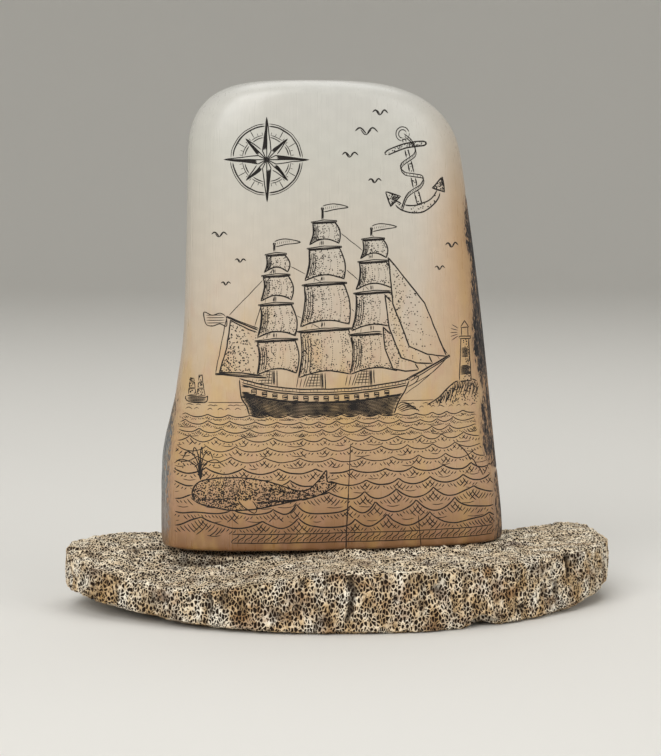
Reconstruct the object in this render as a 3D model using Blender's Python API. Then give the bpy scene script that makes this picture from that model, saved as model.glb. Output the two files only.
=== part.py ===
"""A scrimshaw mammoth tusk: a polished section of tusk standing on a slab of porous whalebone.

Run it with blender --background --python part.py, or from Blender's text editor.
Units are metres and +Z is up. The engraved face looks towards -Y, and the origin is the
middle of the object's box, at the level of the surface that the slab stands on.
"""

import math

import bmesh
import bpy
from mathutils import Vector, noise

MM = 0.001

# Tusk section
TUSK_HEIGHT = 167.2 * MM
TUSK_FOOT_WIDTH = 126.6 * MM
TUSK_FOOT_DEPTH = 50 * MM
TUSK_CROWN_DEPTH = 40 * MM  # front to back, where the crown starts to round over
TUSK_LEFT = 3.3 * MM  # it stands this far to the left of the slab's middle
TUSK_BACK = 14 * MM  # and this far behind it
CROWN_ROUND = 6 * MM  # rounding of the polished top edge
FOOT_ROUND = 1.6 * MM  # wear of the sawn lower edge

# Whalebone slab
SLAB_WIDTH = 203 * MM
SLAB_DEPTH = 99.5 * MM
SLAB_THICKNESS = 22.5 * MM
SLAB_EDGE_ROUND = 2.2 * MM
NOTCH_WIDTH = 6.5 * MM  # chip out of the lower front edge
NOTCH_HEIGHT = 4 * MM
NOTCH_X = 40 * MM
RIM_ROUGHNESS = 0.9 * MM
RIM_GRAIN = 17 * MM  # distance from one swelling of the broken rim to the next

# Worn places in the slab's top: middle in x and y, reach and depth. The front left one runs out
# under the tusk's foot, and the other is at the back right.
WORN_PLACES = (
    (-71 * MM, -32 * MM, 66 * MM, 8.5 * MM),
    (69 * MM, 47 * MM, 27 * MM, 2.0 * MM),
)

SEAT_GAP = 0.3 * MM  # the tusk is a separate piece that rests on the slab

# The tusk's two flanks from the front: (share of its height, share of its foot width from the middle).
# The left one steps out below a third of the height, where the outer bark was left on.
LEFT_FLANK = (
    (0.00, -0.500),
    (0.15, -0.498),
    (0.21, -0.493),
    (0.25, -0.483),
    (0.28, -0.469),
    (0.32, -0.457),
    (0.45, -0.431),
    (0.60, -0.423),
    (0.80, -0.416),
    (1.00, -0.413),
)
RIGHT_FLANK = (
    (0.00, 0.500),
    (0.07, 0.494),
    (0.20, 0.474),
    (0.40, 0.446),
    (0.60, 0.415),
    (0.78, 0.381),
    (1.00, 0.340),
)
# Each shoulder: share of the height where it starts, share of the foot width that it takes off, squareness
LEFT_SHOULDER = (0.84, 0.240, 2.6)
RIGHT_SHOULDER = (0.83, 0.300, 2.4)
# Squareness of the tusk's oval section, at the foot and at the crown (2 is an ellipse)
FOOT_SQUARENESS = 2.7
CROWN_SQUARENESS = 2.6

# Round the slab, from its right end by the back: where its rim is, as shares of its width and
# depth from the middle, how far inside the rim the flat foot ends, as a share of the width, and
# how high the underside has risen at the rim, as a share of the thickness.
SLAB_RIM = (
    (0.482, -0.008, 0.060, 0.30),
    (0.497, 0.170, 0.060, 0.28),
    (0.500, 0.330, 0.050, 0.26),
    (0.496, 0.430, 0.045, 0.22),
    (0.462, 0.470, 0.040, 0.20),
    (0.400, 0.452, 0.035, 0.16),
    (0.330, 0.440, 0.035, 0.16),
    (0.170, 0.466, 0.035, 0.16),
    (0.000, 0.494, 0.035, 0.16),
    (-0.160, 0.500, 0.035, 0.16),
    (-0.316, 0.492, 0.040, 0.18),
    (-0.420, 0.452, 0.080, 0.24),
    (-0.480, 0.335, 0.130, 0.30),
    (-0.500, 0.169, 0.160, 0.33),
    (-0.474, 0.010, 0.140, 0.29),
    (-0.402, -0.150, 0.090, 0.21),
    (-0.300, -0.312, 0.045, 0.11),
    (-0.150, -0.448, 0.022, 0.04),
    (0.046, -0.500, 0.015, 0.03),
    (0.199, -0.443, 0.015, 0.03),
    (0.319, -0.317, 0.020, 0.05),
    (0.421, -0.160, 0.035, 0.14),
)

# The slab's rings from its flat foot up to the rounded edge of its top, as shares: how far out
# to the rim, how much of the underside's rise, how much of the side's height, and how rough
SIDE_RINGS = (
    (0.00, 0.00, 0.00, 0.0),
    (0.55, 0.45, 0.00, 0.6),
    (0.985, 1.00, 0.00, 1.0),
    (1.00, 1.00, 0.12, 1.0),
    (1.00, 1.00, 0.62, 1.0),
)
EDGE_TURNS = (0, 30, 60, 90)  # degrees round the top edge
TOP_REACH = 0.40  # how far in the flat top's last ring lies, as a share of the slab's depth
MOST_INSET = 0.9  # the most that a ring moves in, as a share of its distance from the middle

# Mesh density
TUSK_SIDES = 64
FLANK_RINGS = 16
SHOULDER_RINGS = 13
FOOT_RING = 0.3  # where a ring cuts the rounding of the tusk's foot, as a share of it
CROWN_CROWDING = 0.8  # below 1, the shoulders' rings crowd towards the crown
SLAB_SIDES = 120
TOP_RINGS = 9
SHARP_ANGLE = math.radians(40)

# Colour (linear red, green and blue) and roughness
IVORY = ((0.66, 0.52, 0.33), 0.32)
WHALEBONE = ((0.52, 0.43, 0.27), 0.85)

TUSK_FOOT_Z = SLAB_THICKNESS + SEAT_GAP


def through(stations, at, column=1):
    """A smooth curve through the stations' column, read at a value of their first column."""
    last = len(stations) - 1
    at = min(max(at, stations[0][0]), stations[last][0])
    i = max(k for k in range(last) if stations[k][0] <= at)
    x0, x1 = stations[i][0], stations[i + 1][0]
    y0, y1 = stations[i][column], stations[i + 1][column]

    def slope(k):
        a, b = stations[max(k - 1, 0)], stations[min(k + 1, last)]
        return (b[column] - a[column]) / (b[0] - a[0])

    t = (at - x0) / (x1 - x0)
    start = slope(i) * (x1 - x0)
    end = slope(i + 1) * (x1 - x0)
    return (
        y0 * (1 + 2 * t) * (1 - t) ** 2
        + start * t * (1 - t) ** 2
        + y1 * t * t * (3 - 2 * t)
        + end * t * t * (t - 1)
    )


def ease(value):
    """0 to 1 with a soft start and end, for a value that runs from 0 to 1."""
    t = min(max(value, 0.0), 1.0)
    return t * t * (3 - 2 * t)


def squared(angle, squareness):
    """The unit superellipse's point at an angle."""
    c, s = math.cos(angle), math.sin(angle)
    power = 2 / squareness
    return (
        math.copysign(abs(c) ** power, c),
        math.copysign(abs(s) ** power, s),
    )


def fillet_inset(distance, radius):
    """How far a rounded edge lies inside the full form, at a distance from the edge's end face."""
    if distance >= radius:
        return 0.0
    return radius - math.sqrt(radius**2 - (radius - distance) ** 2)


def shoulder_inset(height_share, shoulder):
    """What a shoulder takes off the flank at a share of the height, as a share of the foot width."""
    start, reach, squareness = shoulder
    t = min(max((height_share - start) / (1 - start), 0.0), 1.0)
    return reach * (1 - (1 - t**squareness) ** (1 / squareness))


def new_object(name, shape, material):
    """Turns a bmesh into a smooth-shaded object with its material."""
    mesh = bpy.data.meshes.new(name)
    bmesh.ops.recalc_face_normals(shape, faces=shape.faces)
    shape.to_mesh(mesh)
    shape.free()
    mesh.shade_smooth()
    mesh.set_sharp_from_angle(angle=SHARP_ANGLE)
    mesh.materials.append(material)
    made = bpy.data.objects.new(name, mesh)
    bpy.context.scene.collection.objects.link(made)
    return made


def new_material(name, colour, roughness):
    material = bpy.data.materials.new(name)
    material.use_nodes = True
    shader = material.node_tree.nodes["Principled BSDF"]
    shader.inputs["Base Color"].default_value = (*colour, 1.0)
    shader.inputs["Roughness"].default_value = roughness
    shader.inputs["Metallic"].default_value = 0.0
    return material


def loft(rings):
    """A closed bmesh: a skin over rings of points, with a flat cap on the first and the last."""
    shape = bmesh.new()
    loops = [[shape.verts.new(point) for point in ring] for ring in rings]
    for lower, upper in zip(loops, loops[1:]):
        for i, corner in enumerate(lower):
            j = (i + 1) % len(lower)
            shape.faces.new((corner, lower[j], upper[j], upper[i]))
    shape.faces.new(list(reversed(loops[0])))
    shape.faces.new(loops[-1])
    return shape


def tusk_levels():
    """Shares of the tusk's height for its rings, close together where the form turns."""
    foot = FOOT_ROUND / TUSK_HEIGHT
    shoulder_start = min(LEFT_SHOULDER[0], RIGHT_SHOULDER[0])
    levels = [0.0, FOOT_RING * foot]
    for i in range(FLANK_RINGS):
        levels.append(foot + (shoulder_start - foot) * i / FLANK_RINGS)
    for i in range(SHOULDER_RINGS):
        turn = math.radians(90) * i / (SHOULDER_RINGS - 1)
        levels.append(shoulder_start + (1 - shoulder_start) * math.sin(turn) ** CROWN_CROWDING)
    return levels


def tusk_ring(share):
    """The tusk's oval section at a share of its height."""
    z = share * TUSK_HEIGHT
    left = through(LEFT_FLANK, share) + shoulder_inset(share, LEFT_SHOULDER)
    right = through(RIGHT_FLANK, share) - shoulder_inset(share, RIGHT_SHOULDER)
    rounded = max(
        fillet_inset(z, FOOT_ROUND), fillet_inset(TUSK_HEIGHT - z, CROWN_ROUND)
    )
    foot_rounded = fillet_inset(z, FOOT_ROUND)
    half_width = (right - left) / 2 * TUSK_FOOT_WIDTH - foot_rounded
    middle = (left + right) / 2 * TUSK_FOOT_WIDTH - TUSK_LEFT
    depth = TUSK_FOOT_DEPTH + (TUSK_CROWN_DEPTH - TUSK_FOOT_DEPTH) * ease(share)
    squareness = FOOT_SQUARENESS + (CROWN_SQUARENESS - FOOT_SQUARENESS) * share
    ring = []
    for i in range(TUSK_SIDES):
        x, y = squared(math.tau * i / TUSK_SIDES, squareness)
        ring.append(
            Vector(
                (
                    middle + x * half_width,
                    TUSK_BACK + y * (depth / 2 - rounded),
                    TUSK_FOOT_Z + z,
                )
            )
        )
    return ring


def build_tusk(material):
    rings = [tusk_ring(share) for share in tusk_levels()]
    return new_object("tusk", loft(rings), material)


def slab_rim_values():
    """SLAB_RIM's four columns at SLAB_SIDES places, evenly spaced along the rim."""
    rows = [SLAB_RIM[-1], *SLAB_RIM, *SLAB_RIM[:2]]
    along = [0.0]
    for a, b in zip(rows, rows[1:]):
        step = math.hypot((b[0] - a[0]) * SLAB_WIDTH, (b[1] - a[1]) * SLAB_DEPTH)
        along.append(along[-1] + step)
    stations = [(at, *row) for at, row in zip(along, rows)]
    start, round_trip = along[1], along[-2] - along[1]
    values = []
    for i in range(SLAB_SIDES):
        at = start + round_trip * i / SLAB_SIDES
        values.append([through(stations, at, column) for column in (1, 2, 3, 4)])
    return values


def inside_rim(row, inset):
    """A point of the slab's outline from above, moved in towards the middle by an inset."""
    point = Vector((row[0] * SLAB_WIDTH, row[1] * SLAB_DEPTH))
    return point - point.normalized() * min(inset, MOST_INSET * point.length)


def wear_at(x, y):
    """How far the slab's top is worn down at a place, below the flat seat of the tusk."""
    wear = 0.0
    for middle_x, middle_y, reach, depth in WORN_PLACES:
        away = math.hypot(x - middle_x, y - middle_y) / reach
        wear += depth * ease(1 - away)
    return wear


def notch_at(x, y, z):
    """How far the chip in the lower front edge lifts a point of it."""
    if y > 0 or z > NOTCH_HEIGHT:
        return 0.0
    return (NOTCH_HEIGHT - z) * max(0.0, 1 - abs(x - NOTCH_X) / NOTCH_WIDTH)


def roughened(point, amount):
    """The point, moved along the slab's plane by the slow swellings of broken bone."""
    swelling = noise.noise_vector(point / RIM_GRAIN)
    return point + Vector((swelling.x, swelling.y, 0)) * amount


def slab_side_ring(rim, inset_share, rise_share, height_share, roughness):
    """One ring of the slab's underside or side, from a row of SIDE_RINGS."""
    ring = []
    for row in rim:
        x, y = inside_rim(row, row[2] * SLAB_WIDTH * (1 - inset_share))
        rise = row[3] * SLAB_THICKNESS
        top = SLAB_THICKNESS - wear_at(x, y) - SLAB_EDGE_ROUND
        z = rise * rise_share + (top - rise) * height_share
        if rise_share > 0:
            z += notch_at(x, y, z)
        ring.append(roughened(Vector((x, y, z)), roughness * RIM_ROUGHNESS))
    return ring


def slab_top_ring(rim, inset, drop, amount):
    """A ring of the slab's top side, an inset inside the rim and a drop below the flat seat."""
    ring = []
    for row in rim:
        x, y = inside_rim(row, inset)
        z = SLAB_THICKNESS - drop - wear_at(x, y)
        ring.append(roughened(Vector((x, y, z)), amount))
    return ring


def fitted(rings):
    """The rings, moved and sized so that the rough rim still has the slab's width and depth."""
    points = [point for ring in rings for point in ring]
    for axis, size in ((0, SLAB_WIDTH), (1, SLAB_DEPTH)):
        low = min(point[axis] for point in points)
        high = max(point[axis] for point in points)
        for point in points:
            point[axis] = (point[axis] - (low + high) / 2) * size / (high - low)
    return rings


def build_slab(material):
    rim = slab_rim_values()
    rings = [slab_side_ring(rim, *shares) for shares in SIDE_RINGS]
    for turn in EDGE_TURNS:
        angle = math.radians(turn)
        inset = SLAB_EDGE_ROUND * (1 - math.cos(angle))
        drop = SLAB_EDGE_ROUND * (1 - math.sin(angle))
        rings.append(slab_top_ring(rim, inset, drop, RIM_ROUGHNESS))
    for i in range(1, TOP_RINGS):
        inset = SLAB_EDGE_ROUND + (TOP_REACH * SLAB_DEPTH - SLAB_EDGE_ROUND) * i / TOP_RINGS
        amount = RIM_ROUGHNESS * (1 - i / TOP_RINGS)
        rings.append(slab_top_ring(rim, inset, 0.0, amount))
    return new_object("whalebone_slab", loft(fitted(rings)), material)


def clear_scene():
    for old in list(bpy.data.objects):
        bpy.data.objects.remove(old)


def main():
    clear_scene()
    ivory = new_material("polished_mammoth_ivory", *IVORY)
    bone = new_material("porous_whalebone", *WHALEBONE)
    build_tusk(ivory)
    build_slab(bone)


main()
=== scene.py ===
# %% [markdown]
# # A scrimshaw mammoth tusk
#
# The object is a polished section of mammoth tusk that stands on a slab of fossil whalebone.
# Its front is engraved and the cuts are rubbed with black ink, which is called scrimshaw.
# This lesson dresses the two plain solids of the part: smooth ivory with its bark left on at
# the edges, ink-filled cuts, and bone with open cells.

# %% Load the frame
import math
import random
from functools import partial

import bpy
import numpy as np
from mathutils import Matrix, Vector


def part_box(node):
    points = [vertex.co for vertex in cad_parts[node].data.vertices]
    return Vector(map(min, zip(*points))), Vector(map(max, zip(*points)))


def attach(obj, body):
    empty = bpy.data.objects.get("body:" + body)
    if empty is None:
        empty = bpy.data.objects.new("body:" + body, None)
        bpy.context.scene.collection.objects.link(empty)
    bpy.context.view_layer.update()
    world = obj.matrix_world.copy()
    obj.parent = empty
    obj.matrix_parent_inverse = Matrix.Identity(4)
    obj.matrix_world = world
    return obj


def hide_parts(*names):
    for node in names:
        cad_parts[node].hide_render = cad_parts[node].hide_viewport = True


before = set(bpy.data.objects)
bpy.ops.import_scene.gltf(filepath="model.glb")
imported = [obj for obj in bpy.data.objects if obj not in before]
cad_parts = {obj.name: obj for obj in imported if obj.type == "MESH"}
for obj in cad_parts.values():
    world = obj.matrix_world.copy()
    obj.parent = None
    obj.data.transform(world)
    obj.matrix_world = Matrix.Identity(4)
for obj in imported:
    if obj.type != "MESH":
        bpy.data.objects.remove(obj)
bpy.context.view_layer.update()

MM = 0.001
tusk_low, tusk_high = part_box("tusk")
slab_low, slab_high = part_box("whalebone_slab")
print("tusk", tusk_low, tusk_high, "slab", slab_low, slab_high)

# %% [markdown]
# ## Helpers
#
# Colours are written as they look on a screen, as sRGB hex values, and Blender's shaders work
# with linear ones. One function turns the first into the second. Another adds a node to a
# tree, with its settings and with what goes into it.


# %% Colour and node helpers
def linear(hex_colour):
    """The linear RGBA of an sRGB colour such as #cfc8bc."""
    levels = [int(hex_colour[i : i + 2], 16) / 255 for i in (1, 3, 5)]
    return (*[c / 12.92 if c <= 0.04045 else ((c + 0.055) / 1.055) ** 2.4 for c in levels], 1.0)


def add(tree, kind, inputs=(), stops=(), **settings):
    """Adds a node with its settings and links.

    inputs are in the node's own order, or a dict with the sockets' names. Each is a value, an
    sRGB colour, a node, or one of a node's outputs. stops are a Color Ramp's positions and colours.
    """
    made = tree.nodes.new(kind)
    for name, value in settings.items():
        setattr(made, name, value)
    for socket, value in inputs.items() if isinstance(inputs, dict) else enumerate(inputs):
        if isinstance(value, bpy.types.Node):
            value = next(output for output in value.outputs if output.enabled)
        if isinstance(value, bpy.types.NodeSocket):
            tree.links.new(value, made.inputs[socket])
        else:
            made.inputs[socket].default_value = linear(value) if str(value).startswith("#") else value
    for i, (position, colour) in enumerate(stops):
        ends = made.color_ramp.elements
        stop = ends[0] if i == 0 else ends[-1] if i == len(stops) - 1 else ends.new(position)
        stop.position, stop.color = position, linear(colour)
    return made


def new_material(name):
    """A material with an empty node tree."""
    material = bpy.data.materials.new(name)
    material.use_nodes = True
    material.node_tree.nodes.clear()
    return material, material.node_tree


# %% [markdown]
# New pieces that follow a solid start as a copy of it. The solid is loose triangles, so the
# copy's doubles are merged. Everything is deselected first, because an operator acts on all
# that is selected.


# %% Copy a solid
def copy_of(node, name):
    """A merged copy of a CAD node, under its own name, selected and active."""
    bpy.ops.object.select_all(action="DESELECT")
    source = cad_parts[node]
    source.select_set(True)
    bpy.context.view_layer.objects.active = source
    bpy.ops.object.duplicate()
    piece = bpy.context.active_object
    piece.name = piece.data.name = name
    piece.data.materials.clear()
    bpy.ops.object.mode_set(mode="EDIT")
    bpy.ops.mesh.select_all(action="SELECT")
    bpy.ops.mesh.remove_doubles(threshold=0.001 * MM)
    bpy.ops.object.mode_set(mode="OBJECT")
    return piece


def apply_modifier(piece, kind, **settings):
    """Adds a modifier with its settings and applies it."""
    modifier = piece.modifiers.new(kind.lower(), kind)
    for name, value in settings.items():
        setattr(modifier, name, value)
    bpy.ops.object.modifier_apply(modifier=modifier.name)


def points_of(mesh):
    """A mesh's points as an array of rows of x, y and z, in millimetres."""
    flat = np.empty(len(mesh.vertices) * 3, np.float32)
    mesh.vertices.foreach_get("co", flat)
    return flat.reshape(-1, 3).astype(float) / MM


def normals_of(mesh):
    """A mesh's vertex normals as an array of rows."""
    flat = np.empty(len(mesh.vertices) * 3, np.float32)
    mesh.vertex_normals.foreach_get("vector", flat)
    return flat.reshape(-1, 3).astype(float)


def move_points(mesh, points):
    """Writes points, in millimetres, back to a mesh."""
    mesh.vertices.foreach_set("co", (points * MM).astype(np.float32).reshape(-1))
    mesh.update()


def store(mesh, name, values):
    """Stores one value for each point as an attribute that a material can read."""
    attribute = mesh.attributes.new(name, "FLOAT", "POINT")
    attribute.data.foreach_set("value", values.astype(np.float32))


def select_faces(piece, chosen):
    """Enters edit mode with only the chosen faces selected. chosen is an array of True and False."""
    mesh = piece.data
    mesh.vertices.foreach_set("select", np.zeros(len(mesh.vertices), bool))
    mesh.edges.foreach_set("select", np.zeros(len(mesh.edges), bool))
    mesh.polygons.foreach_set("select", chosen)
    bpy.ops.object.mode_set(mode="EDIT")
    bpy.ops.mesh.select_mode(type="FACE")


def face_centres(mesh):
    """The middle of each face, in millimetres."""
    flat = np.empty(len(mesh.polygons) * 3, np.float32)
    mesh.polygons.foreach_get("center", flat)
    return flat.reshape(-1, 3).astype(float) / MM


# %% [markdown]
# Broken bone and weathered bark are uneven at every scale. A value noise gives that: random
# values on a grid of a named spacing, blended smoothly between the grid's corners. The values
# come from a fixed rule, so that each run gives the same surface.


# %% Smooth noise
def grid_random(cells, seed):
    """A fixed random value from 0 to 1 for each row of whole numbers."""
    mixed = cells[:, 0] * 73856093 ^ cells[:, 1] * 19349663 ^ cells[:, 2] * 83492791 ^ seed * 2654435761
    mixed = (mixed ^ mixed >> 13) * 1274126177 & 0xFFFFFFFF
    return (mixed ^ mixed >> 16 & 0xFFFF) % 65536 / 65535


def noise(points, spacing, seed=0):
    """Smooth noise from -1 to 1 at each point. spacing is a length, or one for each axis."""
    scaled = points / np.array(spacing)
    corner = np.floor(scaled).astype(np.int64)
    part = scaled - corner
    part = part * part * (3 - 2 * part)
    total = np.zeros(len(points))
    for offset in np.ndindex(2, 2, 2):
        share = np.prod(np.where(offset, part, 1 - part), axis=1)
        total += share * grid_random(corner + offset, seed)
    return total * 2 - 1


# %% [markdown]
# ## Camera
#
# The camera stands a little to the left of the engraved face and looks slightly down on the
# slab, from about 75 cm with a long lens, as the slab's narrow ellipse shows. Only its sensor's
# long side is set by the lens, and the picture is taller than it is wide.

# %% Set up the camera
AZIMUTH = math.radians(-9)
DISTANCE = 750 * MM
CAMERA_HEIGHT = 151.5 * MM
PICTURE_HEIGHT = 756
FOCAL_PIXELS = 2083
HORIZON_ABOVE_MIDDLE = 189  # pixels
AIM = Vector((-5.75 * MM, 3.75 * MM, CAMERA_HEIGHT))

camera = bpy.data.objects.new("camera", bpy.data.cameras.new("camera"))
bpy.context.scene.collection.objects.link(camera)
bpy.context.scene.camera = camera
camera.location = AIM + DISTANCE * Vector((math.sin(AZIMUTH), -math.cos(AZIMUTH), 0))
pitch = math.atan(HORIZON_ABOVE_MIDDLE / FOCAL_PIXELS)
camera.rotation_euler = (math.radians(90) - pitch, 0, AZIMUTH)
camera.data.lens = FOCAL_PIXELS / PICTURE_HEIGHT * camera.data.sensor_width
print("camera lens", round(camera.data.lens, 1), "mm at", camera.location)

# %% [markdown]
# ## The ivory
#
# The real tusk was sawn, then filed and polished until its front took a shine. Its solid is a
# net of rings, so turning its triangles back to quads and smoothing it twice gives a polished
# form, which is then stretched by the fraction of a millimetre that smoothing took off it. The
# bark, the tusk's rough outer layer, was left on at the lower left edge, in patches
# down the right edge and over the back. It needs finer faces, which only those places get.

# %% Smooth the tusk
ivory = copy_of("tusk", "polished_tusk")
bpy.ops.object.mode_set(mode="EDIT")
bpy.ops.mesh.select_all(action="SELECT")
bpy.ops.mesh.tris_convert_to_quads(face_threshold=math.radians(35), shape_threshold=math.radians(60))
bpy.ops.object.mode_set(mode="OBJECT")
apply_modifier(ivory, "SUBSURF", levels=2, render_levels=2)
points = points_of(ivory.data)
middle, size = (points.max(axis=0) + points.min(axis=0)) / 2, np.ptp(points, axis=0)
solid_middle, solid_size = np.array((tusk_low + tusk_high) / 2 / MM), np.array((tusk_high - tusk_low) / MM)
move_points(ivory.data, solid_middle + (points - middle) * solid_size / size)
print("polished tusk", len(ivory.data.polygons), "faces")

# %% [markdown]
# To say where the bark lies, each point gets the distance that its place lies inside the
# tusk's outline, seen from the front: from the right edge and from the left edge, counted
# as negative on the back. The bark then reaches in as far as a few measured heights say.

# %% Where the bark is
FOOT_Z = tusk_low[2] / MM
MIDDLE_Y = (tusk_low[1] + tusk_high[1]) / 2 / MM
# Height above the foot and how far the bark reaches round the edge onto the front, in mm
BARK_RIGHT = (
    (0, 4.4), (10, 4.0), (17, 3.4), (24, 2.8), (26.5, 0.4), (28, 4.4), (33, 6.2), (40, 7.2), (46, 6.6),
    (52, 4.8), (55, 3.7), (62, 5.2), (71, 6.8), (80, 6.1), (89, 5.3), (95, 4.0), (103, 2.9), (107, 4.2),
    (115, 4.1), (120, 3.0), (127, 0.6), (136, -3.0), (200, -8.0),
)
BARK_LEFT = (
    (0, 0.2), (4, 1.4), (9, 1.9), (16, 1.8), (24, 1.8), (35, 1.6), (42, 1.2), (49, 0.4), (56, -0.2),
    (63, -2.2), (80, -5.5), (130, -8.5), (200, -12.5),
)
BARK_TOP = 150  # mm above the foot, where the polished crown takes over at the back


def across_edges(points):
    """How far in from the right and the left outline each point lies, negative on the back."""
    levels = np.arange(points[:, 2].min(), points[:, 2].max() + 3, 3.0)
    shelf = np.digitize(points[:, 2], levels) - 1
    right = np.array([points[shelf == i, 0].max(initial=-999) for i in range(len(levels))])
    left = np.array([points[shelf == i, 0].min(initial=999) for i in range(len(levels))])
    full = (right > -900) & (left < 900)
    middles = levels[full] + 1.5
    right_at = np.interp(points[:, 2], middles, right[full])
    left_at = np.interp(points[:, 2], middles, left[full])
    side = np.where(points[:, 1] < MIDDLE_Y, 1.0, -1.0)
    return side * np.maximum(right_at - points[:, 0], 0), side * np.maximum(points[:, 0] - left_at, 0)


def bark_depth(points):
    """How far inside the bark's edge each point lies, in mm. It is negative on polished ivory."""
    height = points[:, 2] - FOOT_Z
    from_right, from_left = across_edges(points)
    right_reach = np.interp(height, *zip(*BARK_RIGHT)) - from_right
    left_reach = np.interp(height, *zip(*BARK_LEFT)) - from_left
    half = np.where(points[:, 0] > (tusk_low[0] + tusk_high[0]) / 2 / MM, right_reach, left_reach)
    uneven = noise(points, (5, 5, 9), 3) * 0.9 + noise(points, (1.6, 1.6, 3.2), 4) * 0.35
    strength = np.interp(half, (0, 6), (0.55, 3.0))
    fingers = noise(points, (14, 14, 22), 5) * 9 + noise(points, (4, 4, 13), 9) * 6
    fingers += noise(points, (1.4, 1.4, 4), 10) * 3
    below_crown = BARK_TOP - height + fingers
    return np.minimum(half + uneven * strength, below_crown)


def refine(piece, chosen, cuts=1):
    """Subdivides the chosen faces of a piece."""
    select_faces(piece, chosen)
    bpy.ops.mesh.subdivide(number_cuts=cuts, smoothness=0)
    bpy.ops.object.mode_set(mode="OBJECT")


near_bark = bark_depth(face_centres(ivory.data)) > -1.5
refine(ivory, near_bark)
print("faces near the bark", int(near_bark.sum()), "and then", len(ivory.data.polygons))

# %% [markdown]
# Mammoth bark is ridged along the tusk and pitted by its time in frozen ground. Its surface is
# moved inwards only, so the tusk keeps its size. A shallow groove runs where polish meets bark.

# %% Raise the bark's ridges
RIDGE_DEPTH = 0.55
BARK_PIT_DEPTH = 0.25
EDGE_GROOVE = 0.18

points, normals = points_of(ivory.data), normals_of(ivory.data)
bark = bark_depth(points)
ridges = noise(points, (2.6, 2.6, 26), 6) * 0.6 + noise(points, (1.3, 1.3, 9), 7) * 0.4
pits = np.clip(noise(points, (1.7, 1.7, 2.6), 8) - 0.35, 0, 1)
on_back = np.clip((points[:, 1] - MIDDLE_Y) / 6 + 0.55, 0.15, 1)
inside_bark = np.clip(bark / 1.2, 0, 1) * on_back
depth = inside_bark * (RIDGE_DEPTH * (0.5 + 0.5 * ridges) + BARK_PIT_DEPTH * pits)
depth += EDGE_GROOVE * np.exp(-((bark / 0.55) ** 2))
depth *= np.clip((points[:, 2] - FOOT_Z) / 1.0, 0, 1)
move_points(ivory.data, points - normals * depth[:, None])
store(ivory.data, "bark", bark)
bpy.ops.object.shade_smooth_by_angle(angle=math.radians(40))
print("bark covers", round(float((bark > 0).mean()), 2), "of the points")

# %% [markdown]
# ## The engraving
#
# A scrimshander scratches lines and pricks dots with a needle and rubs lampblack into them.
# The front holds a ship under sail, a brig, a whale, a lighthouse, gulls, an anchor and a
# compass rose above a rope border, all of them old sailors' motifs. They are laid out flat in
# millimetres first: u to the right of the tusk's middle and v above its foot. The design is
# drawn from front to back. A shape that lies in front is kept, and later strokes stop where
# they meet it, as an engraver would stop them.

# %% Drawing tools
STEP = 0.6  # mm between two points of a stroke
OUTLINE = 0.50  # mm, the widths of the cuts
FINE = 0.36
HAIR = 0.27
# The outline of the polished face that may be engraved
FACE_FIELD = np.array([
    (-59.5, 1), (-59.5, 30), (-58, 44), (-54.5, 57), (-50.5, 75), (-49, 100), (-48, 135), (-45, 150),
    (-39, 159), (38, 160), (46, 150), (48.5, 135), (48, 118), (47.5, 100), (49, 85), (49, 72), (51.5, 57),
    (50, 46), (52, 38), (55, 30), (58, 20), (58.5, 1),
])
hand = random.Random(11)
strokes, dots, in_front = [], [], []


def points_between(start, end):
    """How many points a stretch of a line takes, at one every STEP."""
    return max(2, int(np.linalg.norm(end - start) / STEP) + 1)


def smooth_line(corners, closed=False):
    """Points every STEP along a smooth curve through the corners."""
    p = np.array(corners, float)
    p = np.vstack([p[-1:], p, p[:2]] if closed else [2 * p[0] - p[1], p, 2 * p[-1] - p[-2]])
    runs = []
    for a, b, c, d in zip(p, p[1:], p[2:], p[3:]):
        t = np.linspace(0, 1, points_between(b, c), endpoint=False)[:, None]
        squared, cubed = 2 * a - 5 * b + 4 * c - d, 3 * (b - c) + d - a
        runs.append(b + (c - a) * t / 2 + squared * t**2 / 2 + cubed * t**3 / 2)
    return np.vstack(runs + [p[-2:-1]])


def straight_line(corners, closed=False):
    """Points every STEP along straight lines between the corners."""
    p = np.array([*corners, corners[0]] if closed else corners, float)
    runs = [np.linspace(b, c, points_between(b, c), endpoint=False) for b, c in zip(p, p[1:])]
    return np.vstack(runs + [p[-1:]])


def inside(points, outline):
    """Which of the points lie inside a closed outline."""
    x, y = points[:, 0, None], points[:, 1, None]
    x0, y0 = outline[:, 0], outline[:, 1]
    x1, y1 = np.roll(x0, -1), np.roll(y0, -1)
    crosses = (y0 > y) != (y1 > y)
    meets = (x1 - x0) * (y - y0) / np.where(y1 == y0, 1, y1 - y0) + x0
    return (crosses & (x < meets)).sum(axis=1) % 2 == 1


def shown(points, only=None):
    """Which of the points lie on the polished face, inside one outline if given, and behind no shape."""
    seen = inside(points, FACE_FIELD)
    if only is not None:
        seen &= inside(points, only)
    low, high = points.min(axis=0), points.max(axis=0)
    for outline in in_front:
        if seen.any() and (outline.max(axis=0) > low).all() and (outline.min(axis=0) < high).all():
            seen &= ~inside(points, outline)
    return seen


def engrave(line, width=FINE, only=None):
    """Cuts a line wherever it shows."""
    line = np.array(line, float)
    drift = np.stack([noise(np.column_stack([line, line[:, 0] * 0]), 2.5, seed) for seed in (21, 22)], axis=1)
    seen = shown(line, only)
    line = line + drift * 0.10
    start = None
    for i, visible in enumerate([*seen, False]):
        if visible and start is None:
            start = i
        elif not visible and start is not None:
            if i - start > 1:
                strokes.append((line[start:i], width))
            start = None


def prick(points, size=0.5, only=None):
    """Pricks dots of about one size wherever they show."""
    points = np.array(points, float).reshape(-1, 2)
    for (u, v), visible in zip(points, shown(points, only)):
        if visible:
            dots.append((u, v, size * hand.uniform(0.75, 1.2)))


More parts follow.
